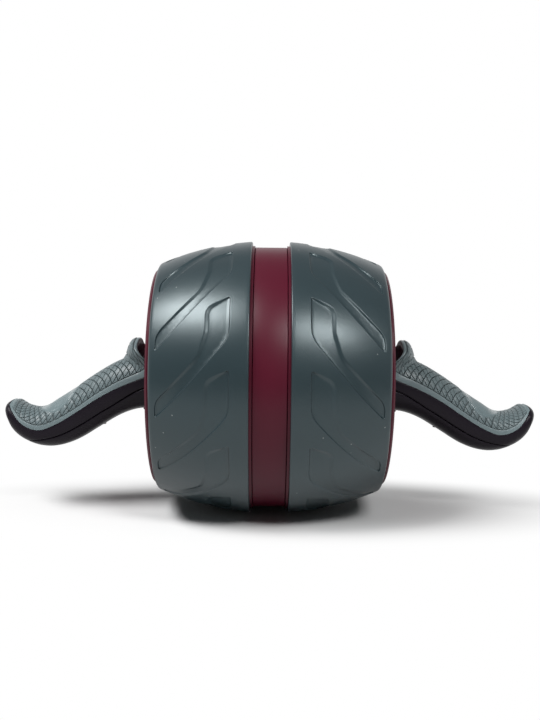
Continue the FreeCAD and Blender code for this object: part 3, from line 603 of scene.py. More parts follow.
def metal_finish(slot, tint, stretch, rough):
    """Bare metal with fine marks stretched along one direction."""
    place = start_material(finish_name(slot))
    along = place.node(
        "ShaderNodeMapping", {"vector_type": "POINT"}, {"Vector": place, "Scale": stretch}, "Vector")
    marks = noise(along, scale=900.0, detail=3.0)
    cloud = noise(place, scale=90.0)
    close_finish(place, marks, depth=0.03, strength=0.25,
                 Base_Color=mottled(cloud, tint, dark=0.8, light=1.1), Metallic=1.0,
                 Roughness=rough + marks * 0.16 + cloud * 0.06)


class ROLLER_OT_finishes(bpy.types.Operator):
    """Make every finish and give it to the nodes of the frame"""
    bl_idname = "roller.make_finishes"
    bl_label = "Make finishes"

    def execute(self, context):
        colours = props("colours")
        tread_rubber_finish(colours)
        maroon_plastic_finish(colours)
        grip_rubber_finish(colours)
        black_plastic_finish(colours)
        button_plastic_finish(colours)
        bush_nylon_finish(colours)
        turned_marks, rolled_marks, plated_marks = (6.0, 0.3, 0.3), (0.2, 1.0, 1.0), (1.0, 1.0, 1.0)
        metal_finish("axle_steel", colours.steel, turned_marks, rough=0.22)
        metal_finish("spring_steel", colours.spring, rolled_marks, rough=0.3)
        metal_finish("screw_steel", colours.zinc, plated_marks, rough=0.26)
        for item in frame["record"]["subparts"]:
            for slot in frame["nodes"][item["node"]].material_slots:
                slot.material = bpy.data.materials[finish_name(item["material_slot"])]
        return {"FINISHED"}


# Curves and steps

def evenly(start, end, steps):
    return [start + (end - start) * number / steps for number in range(steps + 1)]


def ramp(x, start, end):
    """0 before the start, 1 after the end and a smooth step between."""
    share = min(1.0, max(0.0, (x - start) / (end - start)))
    return share * share * (3 - 2 * share)


def through(knots, x):
    """Smooth curve through (place, value) knots."""
    last = len(knots) - 1
    number = 0
    while number < last - 1 and x > knots[number + 1][0]:
        number += 1

    def slope(at):
        low, high = knots[max(at - 1, 0)], knots[min(at + 1, last)]
        return (high[1] - low[1]) / (high[0] - low[0])

    (x0, y0), (x1, y1) = knots[number], knots[number + 1]
    span = x1 - x0
    t = (x - x0) / span
    return (y0 * (1 + 2 * t) * (1 - t) ** 2 + y1 * t * t * (3 - 2 * t)
            + span * t * (1 - t) * (slope(number) * (1 - t) - slope(number + 1) * t))


# Treads

def crown_at(x, below=0.0):
    """Radius of the tread, or of a surface so far below it, at a distance from the mid-plane."""
    sizes = props("tread")
    centre = sizes.crown_radius - math.sqrt(sizes.crown_arc ** 2 - TREAD_LOW[0] ** 2)
    return centre + math.sqrt((sizes.crown_arc - below) ** 2 - x ** 2)


def groove_corners():
    """Corners of one recess as (x, distance round the crown), rounding and width of the wall there."""
    sizes = props("tread")
    inner = TREAD_LOW[0] + sizes.groove_inset
    outer = inner + sizes.groove_width
    end = TREAD_HIGH[0] - sizes.tail_inset
    corners = {
        "point": (inner, 0.0, CRISP_WALL),
        "pocket": (outer, sizes.groove_skew, SOFT_WALL),
        "side": (outer, sizes.groove_straight, SOFT_WALL),
        "shoulder": (outer + sizes.groove_bend, sizes.groove_shoulder, SOFT_WALL),
        "tail": (end, sizes.tail_length - sizes.tail_height, CRISP_WALL),
        "tip": (end, sizes.tail_length, CRISP_WALL),
        "belly": (inner, sizes.groove_straight + sizes.groove_bend, CRISP_WALL),
    }
    return [
        (Vector((x, along)), GROOVE_ROUNDINGS[name] * MM, wall) for name, (x, along, wall) in corners.items()]


def with_neighbours(items):
    """Each item of a closed row between the one before and the one after it."""
    return zip(items[-1:] + items[:-1], items, items[1:] + items[:1])


def rounded_loop(corners, step):
    """Points round a polygon with arcs at its corners, each with its inward normal and wall width."""
    loop = []
    for before, (corner, radius, wall), after in with_neighbours(corners):
        into, out = (corner - before[0]).normalized(), (after[0] - corner).normalized()
        bend = math.atan2(into.cross(out), into.dot(out))
        reach = radius * math.tan(abs(bend) / 2)
        side = Vector((-into.y, into.x)) * math.copysign(1, bend)
        centre = corner - into * reach + side * radius
        steps = max(2, math.ceil(abs(bend) / ARC_STEP))
        for angle in evenly(0.0, bend, steps):
            loop.append((centre + Matrix.Rotation(angle, 2) @ (-side) * radius, wall))
    filled = []
    for (start, wall), (end, next_wall) in zip(loop, loop[1:] + loop[:1]):
        steps = max(1, round((end - start).length / step))
        for share in evenly(0, 1, steps)[:-1]:
            filled.append((start.lerp(end, share), wall + (next_wall - wall) * share))
    result = []
    for before, (place, wall), after in with_neighbours(filled):
        along = (after[0] - before[0]).normalized()
        result.append((place, Vector((-along.y, along.x)), wall))
    return result


def sector_edge(x):
    """Lower border of the stretch of tread that holds one recess, between it and the next."""
    for (x0, s0), (x1, s1) in zip(SECTOR_BORDER, SECTOR_BORDER[1:]):
        if x <= x1 * MM:
            break
    return (s0 + (x / MM - x0) * (s1 - s0) / (x1 - x0)) * MM


def inside(place, outline):
    """Is a place inside a closed outline?"""
    crossings = 0
    for start, end in zip(outline, outline[1:] + outline[:1]):
        if (start.y > place.y) != (end.y > place.y):
            if place.x < start.x + (place.y - start.y) / (end.y - start.y) * (end.x - start.x):
                crossings += 1
    return crossings % 2 == 1


def tread_sector():
    """Stretch of crown that holds one recess, laid flat: points as (x, distance, height) and triangles."""
    sizes = props("tread")
    pitch = 2 * math.pi * sizes.crown_radius / sizes.grooves
    first, last = TREAD_LOW[0] + sizes.inner_rounding, TREAD_HIGH[0] - sizes.outer_rounding
    columns = round((last - first) / sizes.spacing)
    rows = round(pitch / sizes.spacing)
    places, heights, edges = [], [], []

    def add(place, height):
        places.append(place)
        heights.append(height)
        return len(places) - 1

    loop = rounded_loop(groove_corners(), GROOVE_STEP)
    rings = [([place - inward * GROOVE_MARGIN for place, inward, _ in loop], 0.0)]
    for share, fall in GROOVE_WALL:
        rings.append(([place + inward * (wall * share) for place, inward, wall in loop], fall))
    for ring, fall in rings:
        numbers = [add(place, -fall * sizes.groove_depth) for place in ring]
        edges += list(zip(numbers, numbers[1:] + numbers[:1]))
    tree = KDTree(len(places))
    for number, place in enumerate(places):
        tree.insert((*place, 0), number)
    tree.balance()

    grid = {}
    for column, x in enumerate(evenly(first, last, columns)):
        for row in range(rows + 1):
            place = Vector((x, sector_edge(x) - pitch + pitch * row / rows))
            on_border = column in (0, columns) or row in (0, rows)
            if on_border or tree.find((*place, 0))[2] > CLEAR_SHARE * sizes.spacing:
                grid[column, row] = add(place, None)
    for column in range(columns):
        edges += [(grid[column, row], grid[column + 1, row]) for row in (0, rows)]
    for row in range(rows):
        edges += [(grid[column, row], grid[column, row + 1]) for column in (0, columns)]
    inside_triangles = 1
    flat, _, triangles, origins, _, _ = delaunay_2d_cdt(places, edges, [], inside_triangles, MESH_TOLERANCE)
    outline = [place for place, _, _ in loop]
    points = []
    for place, sources in zip(flat, origins):
        height = heights[sources[0]]
        if height is None:
            height = -sizes.groove_depth if inside(place, outline) else 0.0
        points.append((place.x, place.y, height))
    return points, triangles


def roll_up(points, triangles):
    """Bend copies of the flat sector round the axle into a whole crown."""
    sizes = props("tread")
    corners, faces = [], []
    for number in range(sizes.grooves):
        base = len(corners)
        for x, along, height in points:
            radius = crown_at(x) + height
            angle = sizes.groove_phase - along / sizes.crown_radius - 2 * math.pi * number / sizes.grooves
            corners.append((x, -radius * math.cos(angle), radius * math.sin(angle)))
        faces += [[base + corner for corner in face] for face in triangles]
    return corners, faces


def edge_profile(wall, rounding):
    """Rounded edge from the crown down to an end wall; the rounding is negative at the outer end."""
    start = Vector((wall + rounding, crown_at(wall + rounding)))
    end = Vector((wall, start.y - abs(rounding)))
    slope = -EDGE_FULLNESS * rounding
    tangent = Vector((slope, crown_at(start.x + slope) - start.y))
    drop = Vector((0, abs(slope)))
    curve = interpolate_bezier(start, start + tangent, end + drop, end, EDGE_STEPS)
    return [(place.x, place.y) for place in curve]


class ROLLER_OT_treads(bpy.types.Operator):
    """Mould the two treads: a flat sector with one recess, rolled up round the axle and given thickness"""
    bl_idname = "roller.make_treads"
    bl_label = "Make treads"

    def execute(self, context):
        sizes = props("tread")
        low, high = TREAD_LOW[0], TREAD_HIGH[0]
        outer = edge_profile(high, -sizes.outer_rounding) + [(high, crown_at(high, sizes.wall))]
        seat = [(x, crown_at(x, sizes.wall)) for x in evenly(low, high, SEAT_STEPS)[:-1]]
        inner = edge_profile(low, sizes.inner_rounding) + seat
        tread = new_mesh_piece("right_tread_rubber", *roll_up(*tread_sector()))
        with editing(tread):
            bpy.ops.mesh.remove_doubles(threshold=DOUBLES)
            for profile in (outer, inner):
                pick_ring(tread, profile[0][0])
                extrude_along(profile)
            bridge_rims()
        smooth(tread, degrees=60)
        hand_over_both(tread, "tread_rubber", BARREL, "tread_rubber", "tread")
        return {"FINISHED"}


# Drum trim

class ROLLER_OT_band(bpy.types.Operator):
    """Turn the band between the treads: a circle extruded round its section, with eased edges"""
    bl_idname = "roller.make_band"
    bl_label = "Make centre band"

    def execute(self, context):
        half, outer = BAND_HIGH[0], BAND_HIGH[2]
        inner = outer - BAND_WALL
        deselect()
        bpy.ops.mesh.primitive_circle_add(
            vertices=BAND_SIDES, radius=inner, location=(-half, 0, 0), rotation=(0, math.pi / 2, 0))
        band = bpy.context.object
        band.name = "centre_band_ring"
        bake_place(band)
        with editing(band):
            extrude_along([(-half, inner), (-half, outer), (half, outer), (half, inner)])
            bridge_rims()
        add_modifier(band, "BEVEL", width=BAND_EDGE, segments=BAND_EDGE_STEPS, limit_method="ANGLE")
        smooth(band, degrees=40)
        hand_over(band, BARREL, "maroon_plastic", "centre_band")
        return {"FINISHED"}


# Sections of the handle, in millimetres

def handle_size(x):
    """Middle height, half height and half width of the handle."""
    top, depth, width = (through(knots, x) for knots in SECTION_KNOTS)
    return top - depth / 2, depth / 2, width / 2


def signed_power(value, power):
    return math.copysign(abs(value) ** power, value)


def handle_point(x, angle, depth=0.0):
    """Place on the handle's section at an angle from its top and so far below the surface."""
    middle, half_height, half_width = handle_size(x)
    power = 2 / SECTION_FULLNESS
    return Vector((x, (half_width - depth) * signed_power(math.sin(angle), power),
                   middle + (half_height - depth) * signed_power(math.cos(angle), power)))


def handle_normal(x, angle):
    """Direction out of the handle's section at an angle from its top."""
    _, half_height, half_width = handle_size(x)
    power = 2 - 2 / SECTION_FULLNESS
    return Vector((0, signed_power(math.sin(angle), power) / half_width,
                   signed_power(math.cos(angle), power) / half_height)).normalized()


def edge_turn(x, height):
    """Angle round the section, from its top, at which the handle's surface passes a height."""
    middle, half_height, _ = handle_size(x)
    level = max(-1.0, min(1.0, (height - middle) / half_height))
    return math.acos(signed_power(level, SECTION_FULLNESS / 2))


# Grips

def grip_turn(x, mark):
    """Angle round the section at a mark across the grip.

    The scales lie between -1 and 1, and the smooth strips run on to the edges at -2 and 2."""
    edge = through(GRIP_EDGE, x)
    strip = edge_turn(x, edge + through(SMOOTH_STRIP, x))
    if abs(mark) <= 1:
        return mark * strip
    return math.copysign(strip + (abs(mark) - 1) * (edge_turn(x, edge) - strip), mark)


def scale_parts(line):
    """Places across one scale, from the line before it to the line after it."""
    return 0.0, line, *SCALE_MIDDLES, 1 - line, 1.0


def bulge(part):
    """Height of a scale's pillow across it."""
    return 1 - (2 * part - 1) ** 2


def grip_rows():
    """Rows along the grip: guard curve or none, place on it, part of the scale and share of relief there."""
    sizes = props("handle")
    start, last, relief_end = (size / MM for size in (sizes.guard_start, sizes.grip_end, sizes.relief_end))
    rows = []
    for curve in (GUARD_HOLLOW, GUARD_LIP):
        rows += [(curve, share, 0.0, 0.0) for share in evenly(1, 0, GUARD_STEPS)[:-1]]
    for number in range(sizes.guard_scales):
        for part in scale_parts(sizes.line_width / sizes.scale_length):
            share = 1 - (number + part) / sizes.guard_scales
            rows.append((GUARD_SLOPE, share, part, 1.0) if share > 0 else (None, start, part, 1.0))
    x = start
    while x + sizes.tail_scale / MM < last:
        scale = (sizes.scale_length + (sizes.tail_scale - sizes.scale_length) * ramp(x, *TAIL_SCALES)) / MM
        for part in scale_parts(sizes.line_width / MM / scale):
            along = x + part * scale
            rows.append((None, along, part, 1 - ramp(along, relief_end - RELIEF_FADE, relief_end)))
        x += scale
    return rows + [(None, last, 1.0, 0.0)]


def half_columns(slant):
    """Marks from the ridge to one edge, with line, pillow and share of relief, for a slant of the scales.

    Over one row each lengthwise line moves one scale away from the ridge, where a new scale opens."""
    scales = props("handle").scales_a_side
    parts = scale_parts(SCALE_GAP)
    last_flat = (scales - SCALE_GAP, 0.0, 0.0, 1.0)
    columns = [(part * slant, 0.0, 1 - part * part, 1.0) for part in parts[1:-1]]
    for number in range(scales):
        for part in parts[:-1]:
            place = number + part + slant
            here = (place, float(part == 0.0 and place > 0), bulge(part), 1.0)
            columns.append(here if place < last_flat[0] else last_flat)
    columns += [last_flat, (scales, 1.0, 0.0, 1.0)]
    strip = [(mark, 0.0, 0.0, 0.0) for mark in STRIP_MARKS]
    return [(place / scales, *rest) for place, *rest in columns] + strip


def grip_columns(slant):
    """Marks across the whole grip, from its front edge over the ridge to its back edge."""
    half = half_columns(slant)
    return [(-mark, *rest) for mark, *rest in reversed(half)] + [(0.0, 0.0, 1.0, 1.0)] + half


def cross_lean(x, mark):
    """How far a cross line lies nearer to the barrel at a mark than on the ridge."""
    sizes = props("handle")
    off_middle = math.hypot(mark, RIDGE_ROUNDING) - RIDGE_ROUNDING
    lean = sizes.lean / MM * (1 - ramp(x, LEAN_FADE, sizes.grip_end / MM))
    return lean * (1 - max(0.0, 1 - off_middle) ** LEAN_POWER)


def along_side(curve, share):
    """Distance from the mid-plane of a guard curve where it has died away on the sides."""
    sizes = props("handle")
    start, reach, first = sizes.guard_start / MM, sizes.guard_reach / MM, sizes.grip_start / MM
    fold = (first + reach) / 2
    near, far = {GUARD_SLOPE: (start, reach), GUARD_LIP: (reach, fold), GUARD_HOLLOW: (fold, first)}[curve]
    return near + (far - near) * share


def grip_place(curve, along, mark):
    """Place on the grip: at a distance along its body's ridge, or at a share of one of the guard's curves.

    The guard has its side view on top and dies away to the plain section down the sides."""
    if curve is None:
        x = along - cross_lean(along, mark)
        return handle_point(x, grip_turn(x, mark))
    side_x = along_side(curve, along)
    a, b, c, d = (Vector(corner) for corner in curve)
    t, r = along, 1 - along
    top_x, rise = a * r ** 3 + b * (3 * r * r * t) + c * (3 * r * t * t) + d * t ** 3
    if curve is GUARD_SLOPE:
        back = cross_lean(props("handle").guard_start / MM, mark) * (1 - along)
        top_x, side_x = top_x - back, side_x - back
    off_ridge = abs(grip_turn(side_x, mark))
    weight = 1 - ramp(off_ridge, *NOTCH_FADE)
    x = weight * top_x + (1 - weight) * side_x
    angle = grip_turn(x, mark)
    return handle_point(x, angle) + handle_normal(x, angle) * (rise * (1 - ramp(off_ridge, *GUARD_FADE)))


def grip_normal(curve, along, mark, place):
    """Outward normal of the grip at a place on it, from its neighbours."""
    if curve:
        ahead = place - grip_place(curve, along + CURVE_STEP, mark)
    else:
        ahead = grip_place(curve, along + BODY_STEP, mark) - place
    aside = grip_place(curve, along, mark + MARK_STEP) - grip_place(curve, along, mark - MARK_STEP)
    return ahead.cross(aside).normalized()


def oval_radius(place):
    """Distance from the oval's middle, as a share of its border."""
    sizes = props("handle")
    return math.hypot((place.x * MM - sizes.oval_place) / sizes.oval_length, place.y * MM / sizes.oval_width)


class ROLLER_OT_grips(bpy.types.Operator):
    """Mould the rubber grips: scales between sunk lines, smooth strip, hand guard and bare oval"""
    bl_idname = "roller.make_grips"
    bl_label = "Make grips"

    def execute(self, context):
        grip, pad = self.mould(), self.oval_pad()
        hand_over_both(grip, "grip_rubber", HANDLES, "grip_rubber", "grip")
        hand_over_both(pad, "oval_pad_rubber", HANDLES, "grip_rubber")
        return {"FINISHED"}

    def mould(self):
        """Sleeve of rubber, each ring of it over the relief from edge to edge and back along the inside."""
        sizes = props("handle")
        rows = grip_rows()
        rings, lines, reliefs = [], [], []
        for curve, along, part, row_relief in rows:
            outside, within = [], []
            depth = sizes.wall / MM + FOLD_ROOM * {GUARD_LIP: along, GUARD_HOLLOW: 1 + along}.get(curve, 0.0)
            for mark, column_line, column_pillow, column_relief in grip_columns(part):
                place = grip_place(curve, along, mark)
                relief = row_relief * column_relief * ramp(oval_radius(place), *OVAL_FADE)
                row_line = float(part in (0.0, 1.0)) * (1 - TAIL_LINE_LOSS * ramp(place.x, *TAIL_LINES))
                line = max(row_line, LENGTHWISE_LINE * column_line)
                height = relief * (sizes.scale_height * (1 - line) - sizes.line_depth * line
                                   + PILLOW * bulge(part) * column_pillow)
                outside.append(place + grip_normal(curve, along, mark, place) * (height / MM))
                root = max(place.x, along_side(curve, along)) if curve else place.x
                within.append(handle_point(root, grip_turn(root, mark), depth))
                # The share of line is painted on the points for painted shade in the sunk lines
                lines.append(line * relief)
                reliefs.append(relief)
            rings.append(outside + within[::-1])
            lines += [0.0] * len(within)
            reliefs += [0.0] * len(within)
        around = len(rings[0])
        ends = [(a, a + 1, around - 2 - a, around - 1 - a) for a in range(around // 2 - 1)]
        breaks = {number for number, (row, after) in enumerate(zip(rows, rows[1:])) if row[2] > after[2]}
        grip = loft("right_grip_rubber", rings, ends, breaks, line=lines, scaled=reliefs)
        smooth(grip, degrees=50)
        return grip

    def oval_pad(self):
        """Bare oval on top of the grip: a thin rim round a shallow dish, laid over the grip's curve."""
        sizes = props("handle")
        rings = []
        for long_share, wide_share, height in OVAL_PROFILE:
            ring = []
            for angle in evenly(0, 2 * math.pi, OVAL_STEPS)[:-1]:
                x = (sizes.oval_place + sizes.oval_length * long_share * math.cos(angle)) / MM
                y = sizes.oval_width * wide_share * math.sin(angle) / MM
                middle, half_height, half_width = handle_size(x)
                lift = (1 - min(1.0, abs(y) / half_width) ** SECTION_FULLNESS) ** (1 / SECTION_FULLNESS)
                ring.append(Vector((x, y, middle + half_height * lift + height)))
            rings.append(ring)
        # Painted shade: the dish's sunk floor is marked to render darker than its rim
        sunk = []
        for *_, height in OVAL_PROFILE:
            sunk += [OVAL_FLOOR_PAINTED_SHADE if height < OVAL_FLOOR else 0.0] * OVAL_STEPS
        pad = loft("right_oval_pad_rubber", rings, [range(OVAL_STEPS)], bare=[1.0] * len(sunk), scaled=sunk)
        smooth(pad, degrees=50)
        return pad


# Shells

def parting_turn(x):
    """Angle round the section, from its top, of the groove between the shells."""
    return edge_turn(x, through(PARTING_LINE, x)) if x < PARTING_END else math.pi


def turn_per_mm(x):
    """Angle round the section for a millimetre along its surface."""
    return 2 / sum(handle_size(x)[1:])


def upper_half_ring(x):
    """Angles and depths of the upper shell from its top to its bottom: seat of the grip, side, groove."""
    per_mm = turn_per_mm(x)
    grip_end = props("handle").grip_end / MM
    seat = 1 - ramp(x, grip_end, grip_end + RIM_RISE)
    groove = 1 - ramp(x, PARTING_END - PARTING_FADE, PARTING_END)
    gripped = min(x, grip_end)
    top_edge = edge_turn(gripped, through(GRIP_EDGE, gripped))
    low_edge = parting_turn(x)
    seat_end, seat_depth = top_edge + GRIP_SEAT[0][0] * per_mm, GRIP_SEAT[0][1] * seat
    ring = [(angle, seat_depth) for angle in evenly(0.0, seat_end, SEAT_ROUND)[:-1]]
    ring += [(top_edge + along * per_mm, depth * seat) for along, depth in GRIP_SEAT]
    side_end = low_edge + UPPER_LIP[0][0] * per_mm
    ring += [(angle, 0.0) for angle in evenly(ring[-1][0], side_end, SIDE_ROUND)[1:-1]]
    ring += [(low_edge + along * per_mm, depth * groove) for along, depth in UPPER_LIP]
    return ring + [(angle, UPPER_LIP[-1][1] * groove) for angle in evenly(low_edge, math.pi, BELLY_ROUND)[1:]]


def lower_half_ring(x):
    """Angles and depths of the lower shell from its edge at the groove to its bottom."""
    ring = [(parting_turn(x) + along * turn_per_mm(x), depth) for along, depth in LOWER_LIP]
    return ring + [(angle, 0.0) for angle in evenly(ring[-1][0], math.pi, LOWER_ROUND)[1:]]


def cut(piece, radius, start, end, name):
    """Drill a round hole from one place to another."""
    deselect()
    way = end - start
    bpy.ops.mesh.primitive_cylinder_add(
        vertices=HOLE_SIDES, radius=radius, depth=way.length, location=(start + end) / 2,
        rotation=way.to_track_quat("Z", "Y").to_euler())
    drill = bpy.context.object
    drill.name = name
    bake_place(drill)
    add_modifier(piece, "BOOLEAN", operation="DIFFERENCE", object=drill, solver="EXACT")
    bpy.data.objects.remove(drill)


class ROLLER_OT_shells(bpy.types.Operator):
    """Mould the handle shells with rounded edges along the grip and along the groove between them"""
    bl_idname = "roller.make_shells"
    bl_label = "Make shells"

    def execute(self, context):
        for piece, node in ((self.upper(), "upper_shell"), (self.lower(), "lower_shell")):
            self.drill_for_button(piece)
            smooth(piece, degrees=40)
            hand_over_both(piece, f"{node}_plastic", HANDLES, "black_plastic", node)
        return {"FINISHED"}

    def upper(self):
        grip_end = props("handle").grip_end / MM
        rim = grip_end + RIM_RISE
        places = evenly(NECK, PARTING_END - BEFORE_FADE, SHELL_STEPS)
        places += evenly(PARTING_END - PARTING_FADE, PARTING_END, FADE_STEPS)
        places += evenly(PARTING_END, grip_end, TAIL_STEPS)[1:] + evenly(grip_end, rim, FADE_STEPS)[1:]
        places += [rim + (TIP - rim) * math.sin(angle) for angle in evenly(0, math.pi / 2, TAIL_STEPS)[1:]]
        rings = []
        for x in places:
            half = upper_half_ring(x)
            ring = half + [(-angle, depth) for angle, depth in reversed(half[1:-1])]
            rings.append([handle_point(x, angle, depth) for angle, depth in ring])
        return loft("right_upper_shell_plastic", rings, [range(len(rings[0]))])

    def lower(self):
        sizes = props("handle")
        rings = []
        for x in evenly(NECK, PARTING_END - LOWER_STOP, SHELL_STEPS):
            half = lower_half_ring(x)
            ring = [(-angle, depth) for angle, depth in half[:-1]] + half[::-1]
            outer = [handle_point(x, angle, depth) for angle, depth in ring]
            inner = [handle_point(x, angle, sizes.shell_wall / MM) for angle, _ in reversed(ring[1:-1])]
            rings.append(outer + inner)
        piece = loft("right_lower_shell_plastic", rings, [range(len(rings[0]))])
        for number, x in enumerate(SCREW_PLACES):
            foot = Vector((x * MM, 0.0, CAD_BOX[0][2]))
            cut(piece, sizes.screw_well, foot, foot + Vector((0, 0, WELL_REACH)), f"screw_well_{number}")
        return piece

    def drill_for_button(self, piece):
        low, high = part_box("right_release_button")
        x = (low[0] + high[0]) / 2
        foot, head = Vector((x, 0.0, low[2] - DRILL_BELOW)), Vector((x, 0.0, high[2] + DRILL_ABOVE))
        cut(piece, (high[0] - low[0]) / 2 + BUTTON_ROOM, foot, head, "button_hole")


# Leaf springs

class ROLLER_OT_leaf_springs(bpy.types.Operator):
    """Bend the leaf springs in the axle: a limb under its roof, and a tongue from the bend to the snap pin"""
    bl_idname = "roller.make_leaf_springs"
    bl_label = "Make leaf springs"

    def execute(self, context):
        sizes = props("handle")
        low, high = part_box("right_button_spring")
        pin_low, pin_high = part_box("right_snap_pin")
        half = sizes.leaf / 2
        corner = Vector((low[0], 0.0, high[2] - half))
        tip = Vector(((pin_low[0] + pin_high[0]) / 2, 0.0, pin_high[2] + half))
        width = high[1] - low[1]
        limb = self.strip("right_leaf_limb", Vector((high[0], 0.0, corner.z)), corner, width, steps=1)
        tongue = self.strip("right_leaf_tongue", corner, tip, width, steps=LEAF_STEPS)
        hand_over_both(limb, "leaf_limb", HANDLES, "spring_steel", "button_spring")
        for piece, side, sign in ((tongue, "right", 1), (mirrored(tongue, "left_leaf_tongue"), "left", -1)):
            coat(piece, "spring_steel")
            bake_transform(piece)
        return {"FINISHED"}

    def strip(self, name, start, end, width, steps):
        """Strip of spring steel, extruded from its end in even steps."""
        deselect()
        bpy.ops.mesh.primitive_plane_add(size=1, location=start, rotation=(0, math.pi / 2, 0))
        piece = bpy.context.object
        piece.name = name
        piece.scale = (props("handle").leaf, width, 1)
        bake_place(piece)
        with editing(piece):
            for _ in range(steps):
                bpy.ops.mesh.extrude_region_move(TRANSFORM_OT_translate={"value": (end - start) / steps})
            face_outwards()
        return piece


# Stage

def lamp(name, power, bearing, height, lean, distance, width, depth):
    """Soft lamp aimed at the axle from a bearing to the right of the front and a height, both in degrees."""
    data = bpy.data.lights.new(name, "AREA")
    data.shape = "RECTANGLE"
    data.size, data.size_y = width, depth
    data.energy = power
    thing = bpy.data.objects.new(name, data)
    aside, rise = math.radians(bearing), math.radians(height)
    thing.location = distance * Vector(
        (math.sin(aside) * math.cos(rise), -math.cos(aside) * math.cos(rise), math.sin(rise)))
    aim = (-thing.location).to_track_quat("-Z", "Y")
    thing.rotation_euler = (aim.to_matrix() @ Matrix.Rotation(math.radians(lean), 3, "Z")).to_euler()
    bpy.context.collection.objects.link(thing)


def ray_kinds(start):
    """1 on rays from the camera, and 1 on mirror or glass rays."""
    camera, glossy, through_glass = (
        start.node("ShaderNodeLightPath", output=f"Is {kind} Ray")
        for kind in ("Camera", "Glossy", "Transmission"))
    return camera, glossy.maths("MAXIMUM", glossy, through_glass)


def ramped(value, limits, to_low=0.0, to_high=1.0):
    """Smooth step of a value between two limits."""
    return value.node("ShaderNodeMapRange", {"interpolation_type": "SMOOTHSTEP"}, {
        "Value": value, "From Min": limits[0], "From Max": limits[1], "To Min": to_low, "To Max": to_high})


def part_of(place, axis):
    return place.node("ShaderNodeSeparateXYZ", sockets={"Vector": place}, output=axis)


def paper_finish():
    """Matt white paper that turns to plain white away from the object, so that only its shadow shows.

    It is clear from below, where it would hide the underside."""
    place = start_material("studio_paper")
    near = place.node("ShaderNodeVectorMath", {"operation": "MULTIPLY"}, {0: place, 1: SHADOW_PLAN}, "Vector")
    away = near.node("ShaderNodeVectorMath", {"operation": "LENGTH"}, {0: near}, "Value")
    camera, mirrored_ray = ray_kinds(place)
    beyond = ramped(part_of(place, "Y"), PAPER_FRONT)
    matt = place.node("ShaderNodeBsdfDiffuse", sockets={"Color": mix(camera, PAPER_LIT, PAPER_SEEN)})
    white = place.node("ShaderNodeEmission", sockets={"Color": WHITE, "Strength": 1.0})
    seen = camera.maths("MAXIMUM", camera, mirrored_ray * beyond)
    both = place.node("ShaderNodeMixShader", sockets={0: seen * ramped(away, SHADOW_FADE), 1: matt, 2: white})
    below = place.node("ShaderNodeNewGeometry", output="Backfacing")
    clear = place.node("ShaderNodeBsdfTransparent")
    sheet = place.node("ShaderNodeMixShader", sockets={0: below, 1: both, 2: clear})
    place.node("ShaderNodeOutputMaterial", sockets={"Surface": sheet})


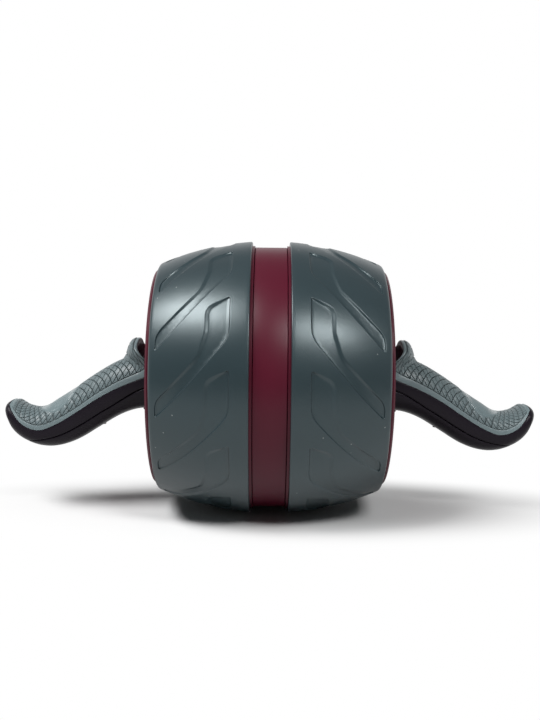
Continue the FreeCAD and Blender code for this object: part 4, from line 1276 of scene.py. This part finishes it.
class ROLLER_OT_stage(bpy.types.Operator):
    """Set the floor, the lamps and the camera"""
    bl_idname = "roller.set_stage"
    bl_label = "Set the stage"

    def execute(self, context):
        stage = props("stage")
        context.scene.view_settings.view_transform = "Standard"
        self.lay_paper(stage)
        self.fill_room(context.scene, stage)
        for name, places in LAMPS.items():
            lamp(f"{name}_lamp", getattr(stage, f"{name}_power"), *places)
        self.place_camera(context, stage)
        return {"FINISHED"}

    def lay_paper(self, stage):
        deselect()
        bpy.ops.mesh.primitive_plane_add(size=stage.paper, location=(0, 0, FLOOR_LEVEL))
        paper = bpy.context.object
        paper.name = "studio_paper"
        bake_place(paper)
        paper_finish()
        paper.data.materials.append(bpy.data.materials["studio_paper"])

    def fill_room(self, scene, stage):
        """White room for the camera, dark behind and above in reflections, with little light of its own."""
        world = bpy.data.worlds.new("studio_room")
        scene.world = world
        world.use_nodes = True
        world.node_tree.nodes.clear()
        way = Signal(world.node_tree).node("ShaderNodeTexCoord", output="Generated")
        camera, mirrored_ray = ray_kinds(way)
        backdrop = ramped(part_of(way, "Y"), ROOM_BACK, stage.room, 1.0)
        ceiling = ramped(part_of(way, "Z"), ROOM_CEILING, 1.0, stage.room)
        others = (1 - camera) * (1 - mirrored_ray)
        strength = camera + mirrored_ray * backdrop * ceiling + others * stage.ambient
        glow = way.node("ShaderNodeBackground", sockets={"Color": WHITE, "Strength": strength})
        way.node("ShaderNodeOutputWorld", sockets={"Surface": glow})

    def place_camera(self, context, stage):
        data = bpy.data.cameras.new("photo_camera")
        data.sensor_fit = "VERTICAL"
        data.sensor_height = FILM_HEIGHT
        data.lens = stage.lens
        data.shift_y = stage.rise
        camera = bpy.data.objects.new("photo_camera", data)
        away = Vector((0, -math.cos(stage.elevation), math.sin(stage.elevation)))
        camera.location = away * stage.distance
        view = Matrix.Rotation(math.pi / 2 - stage.elevation, 4, "X") @ Matrix.Rotation(stage.roll, 4, "Z")
        camera.rotation_euler = view.to_euler()
        context.collection.objects.link(camera)
        context.scene.camera = camera


class ROLLER_PT_panel(bpy.types.Panel):
    """Sidebar list of the roller's operators"""
    bl_idname = "ROLLER_PT_panel"
    bl_label = "Ab roller"
    bl_space_type = "VIEW_3D"
    bl_region_type = "UI"
    bl_category = "Roller"

    def draw(self, context):
        for operator in OPERATORS:
            self.layout.operator(operator.bl_idname)


GROUPS = {"tread": RollerTread, "handle": RollerHandle, "colours": RollerColours, "stage": RollerStage}
OPERATORS = (
    ROLLER_OT_finishes,
    ROLLER_OT_treads,
    ROLLER_OT_band,
    ROLLER_OT_grips,
    ROLLER_OT_shells,
    ROLLER_OT_leaf_springs,
    ROLLER_OT_stage,
)
CLASSES = (*GROUPS.values(), *OPERATORS, ROLLER_PT_panel)


def register():
    for kind in CLASSES:
        bpy.utils.register_class(kind)
    for name, kind in GROUPS.items():
        setattr(bpy.types.Scene, f"roller_{name}", bpy.props.PointerProperty(type=kind))


def unregister():
    for name in GROUPS:
        delattr(bpy.types.Scene, f"roller_{name}")
    for kind in reversed(CLASSES):
        bpy.utils.unregister_class(kind)


def main():
    register()
    bpy.ops.roller.make_finishes()
    bpy.ops.roller.make_treads()
    bpy.ops.roller.make_band()
    bpy.ops.roller.make_grips()
    bpy.ops.roller.make_shells()
    bpy.ops.roller.make_leaf_springs()
    bpy.ops.roller.set_stage()
    deselect()


if __name__ == "__main__":
    main()
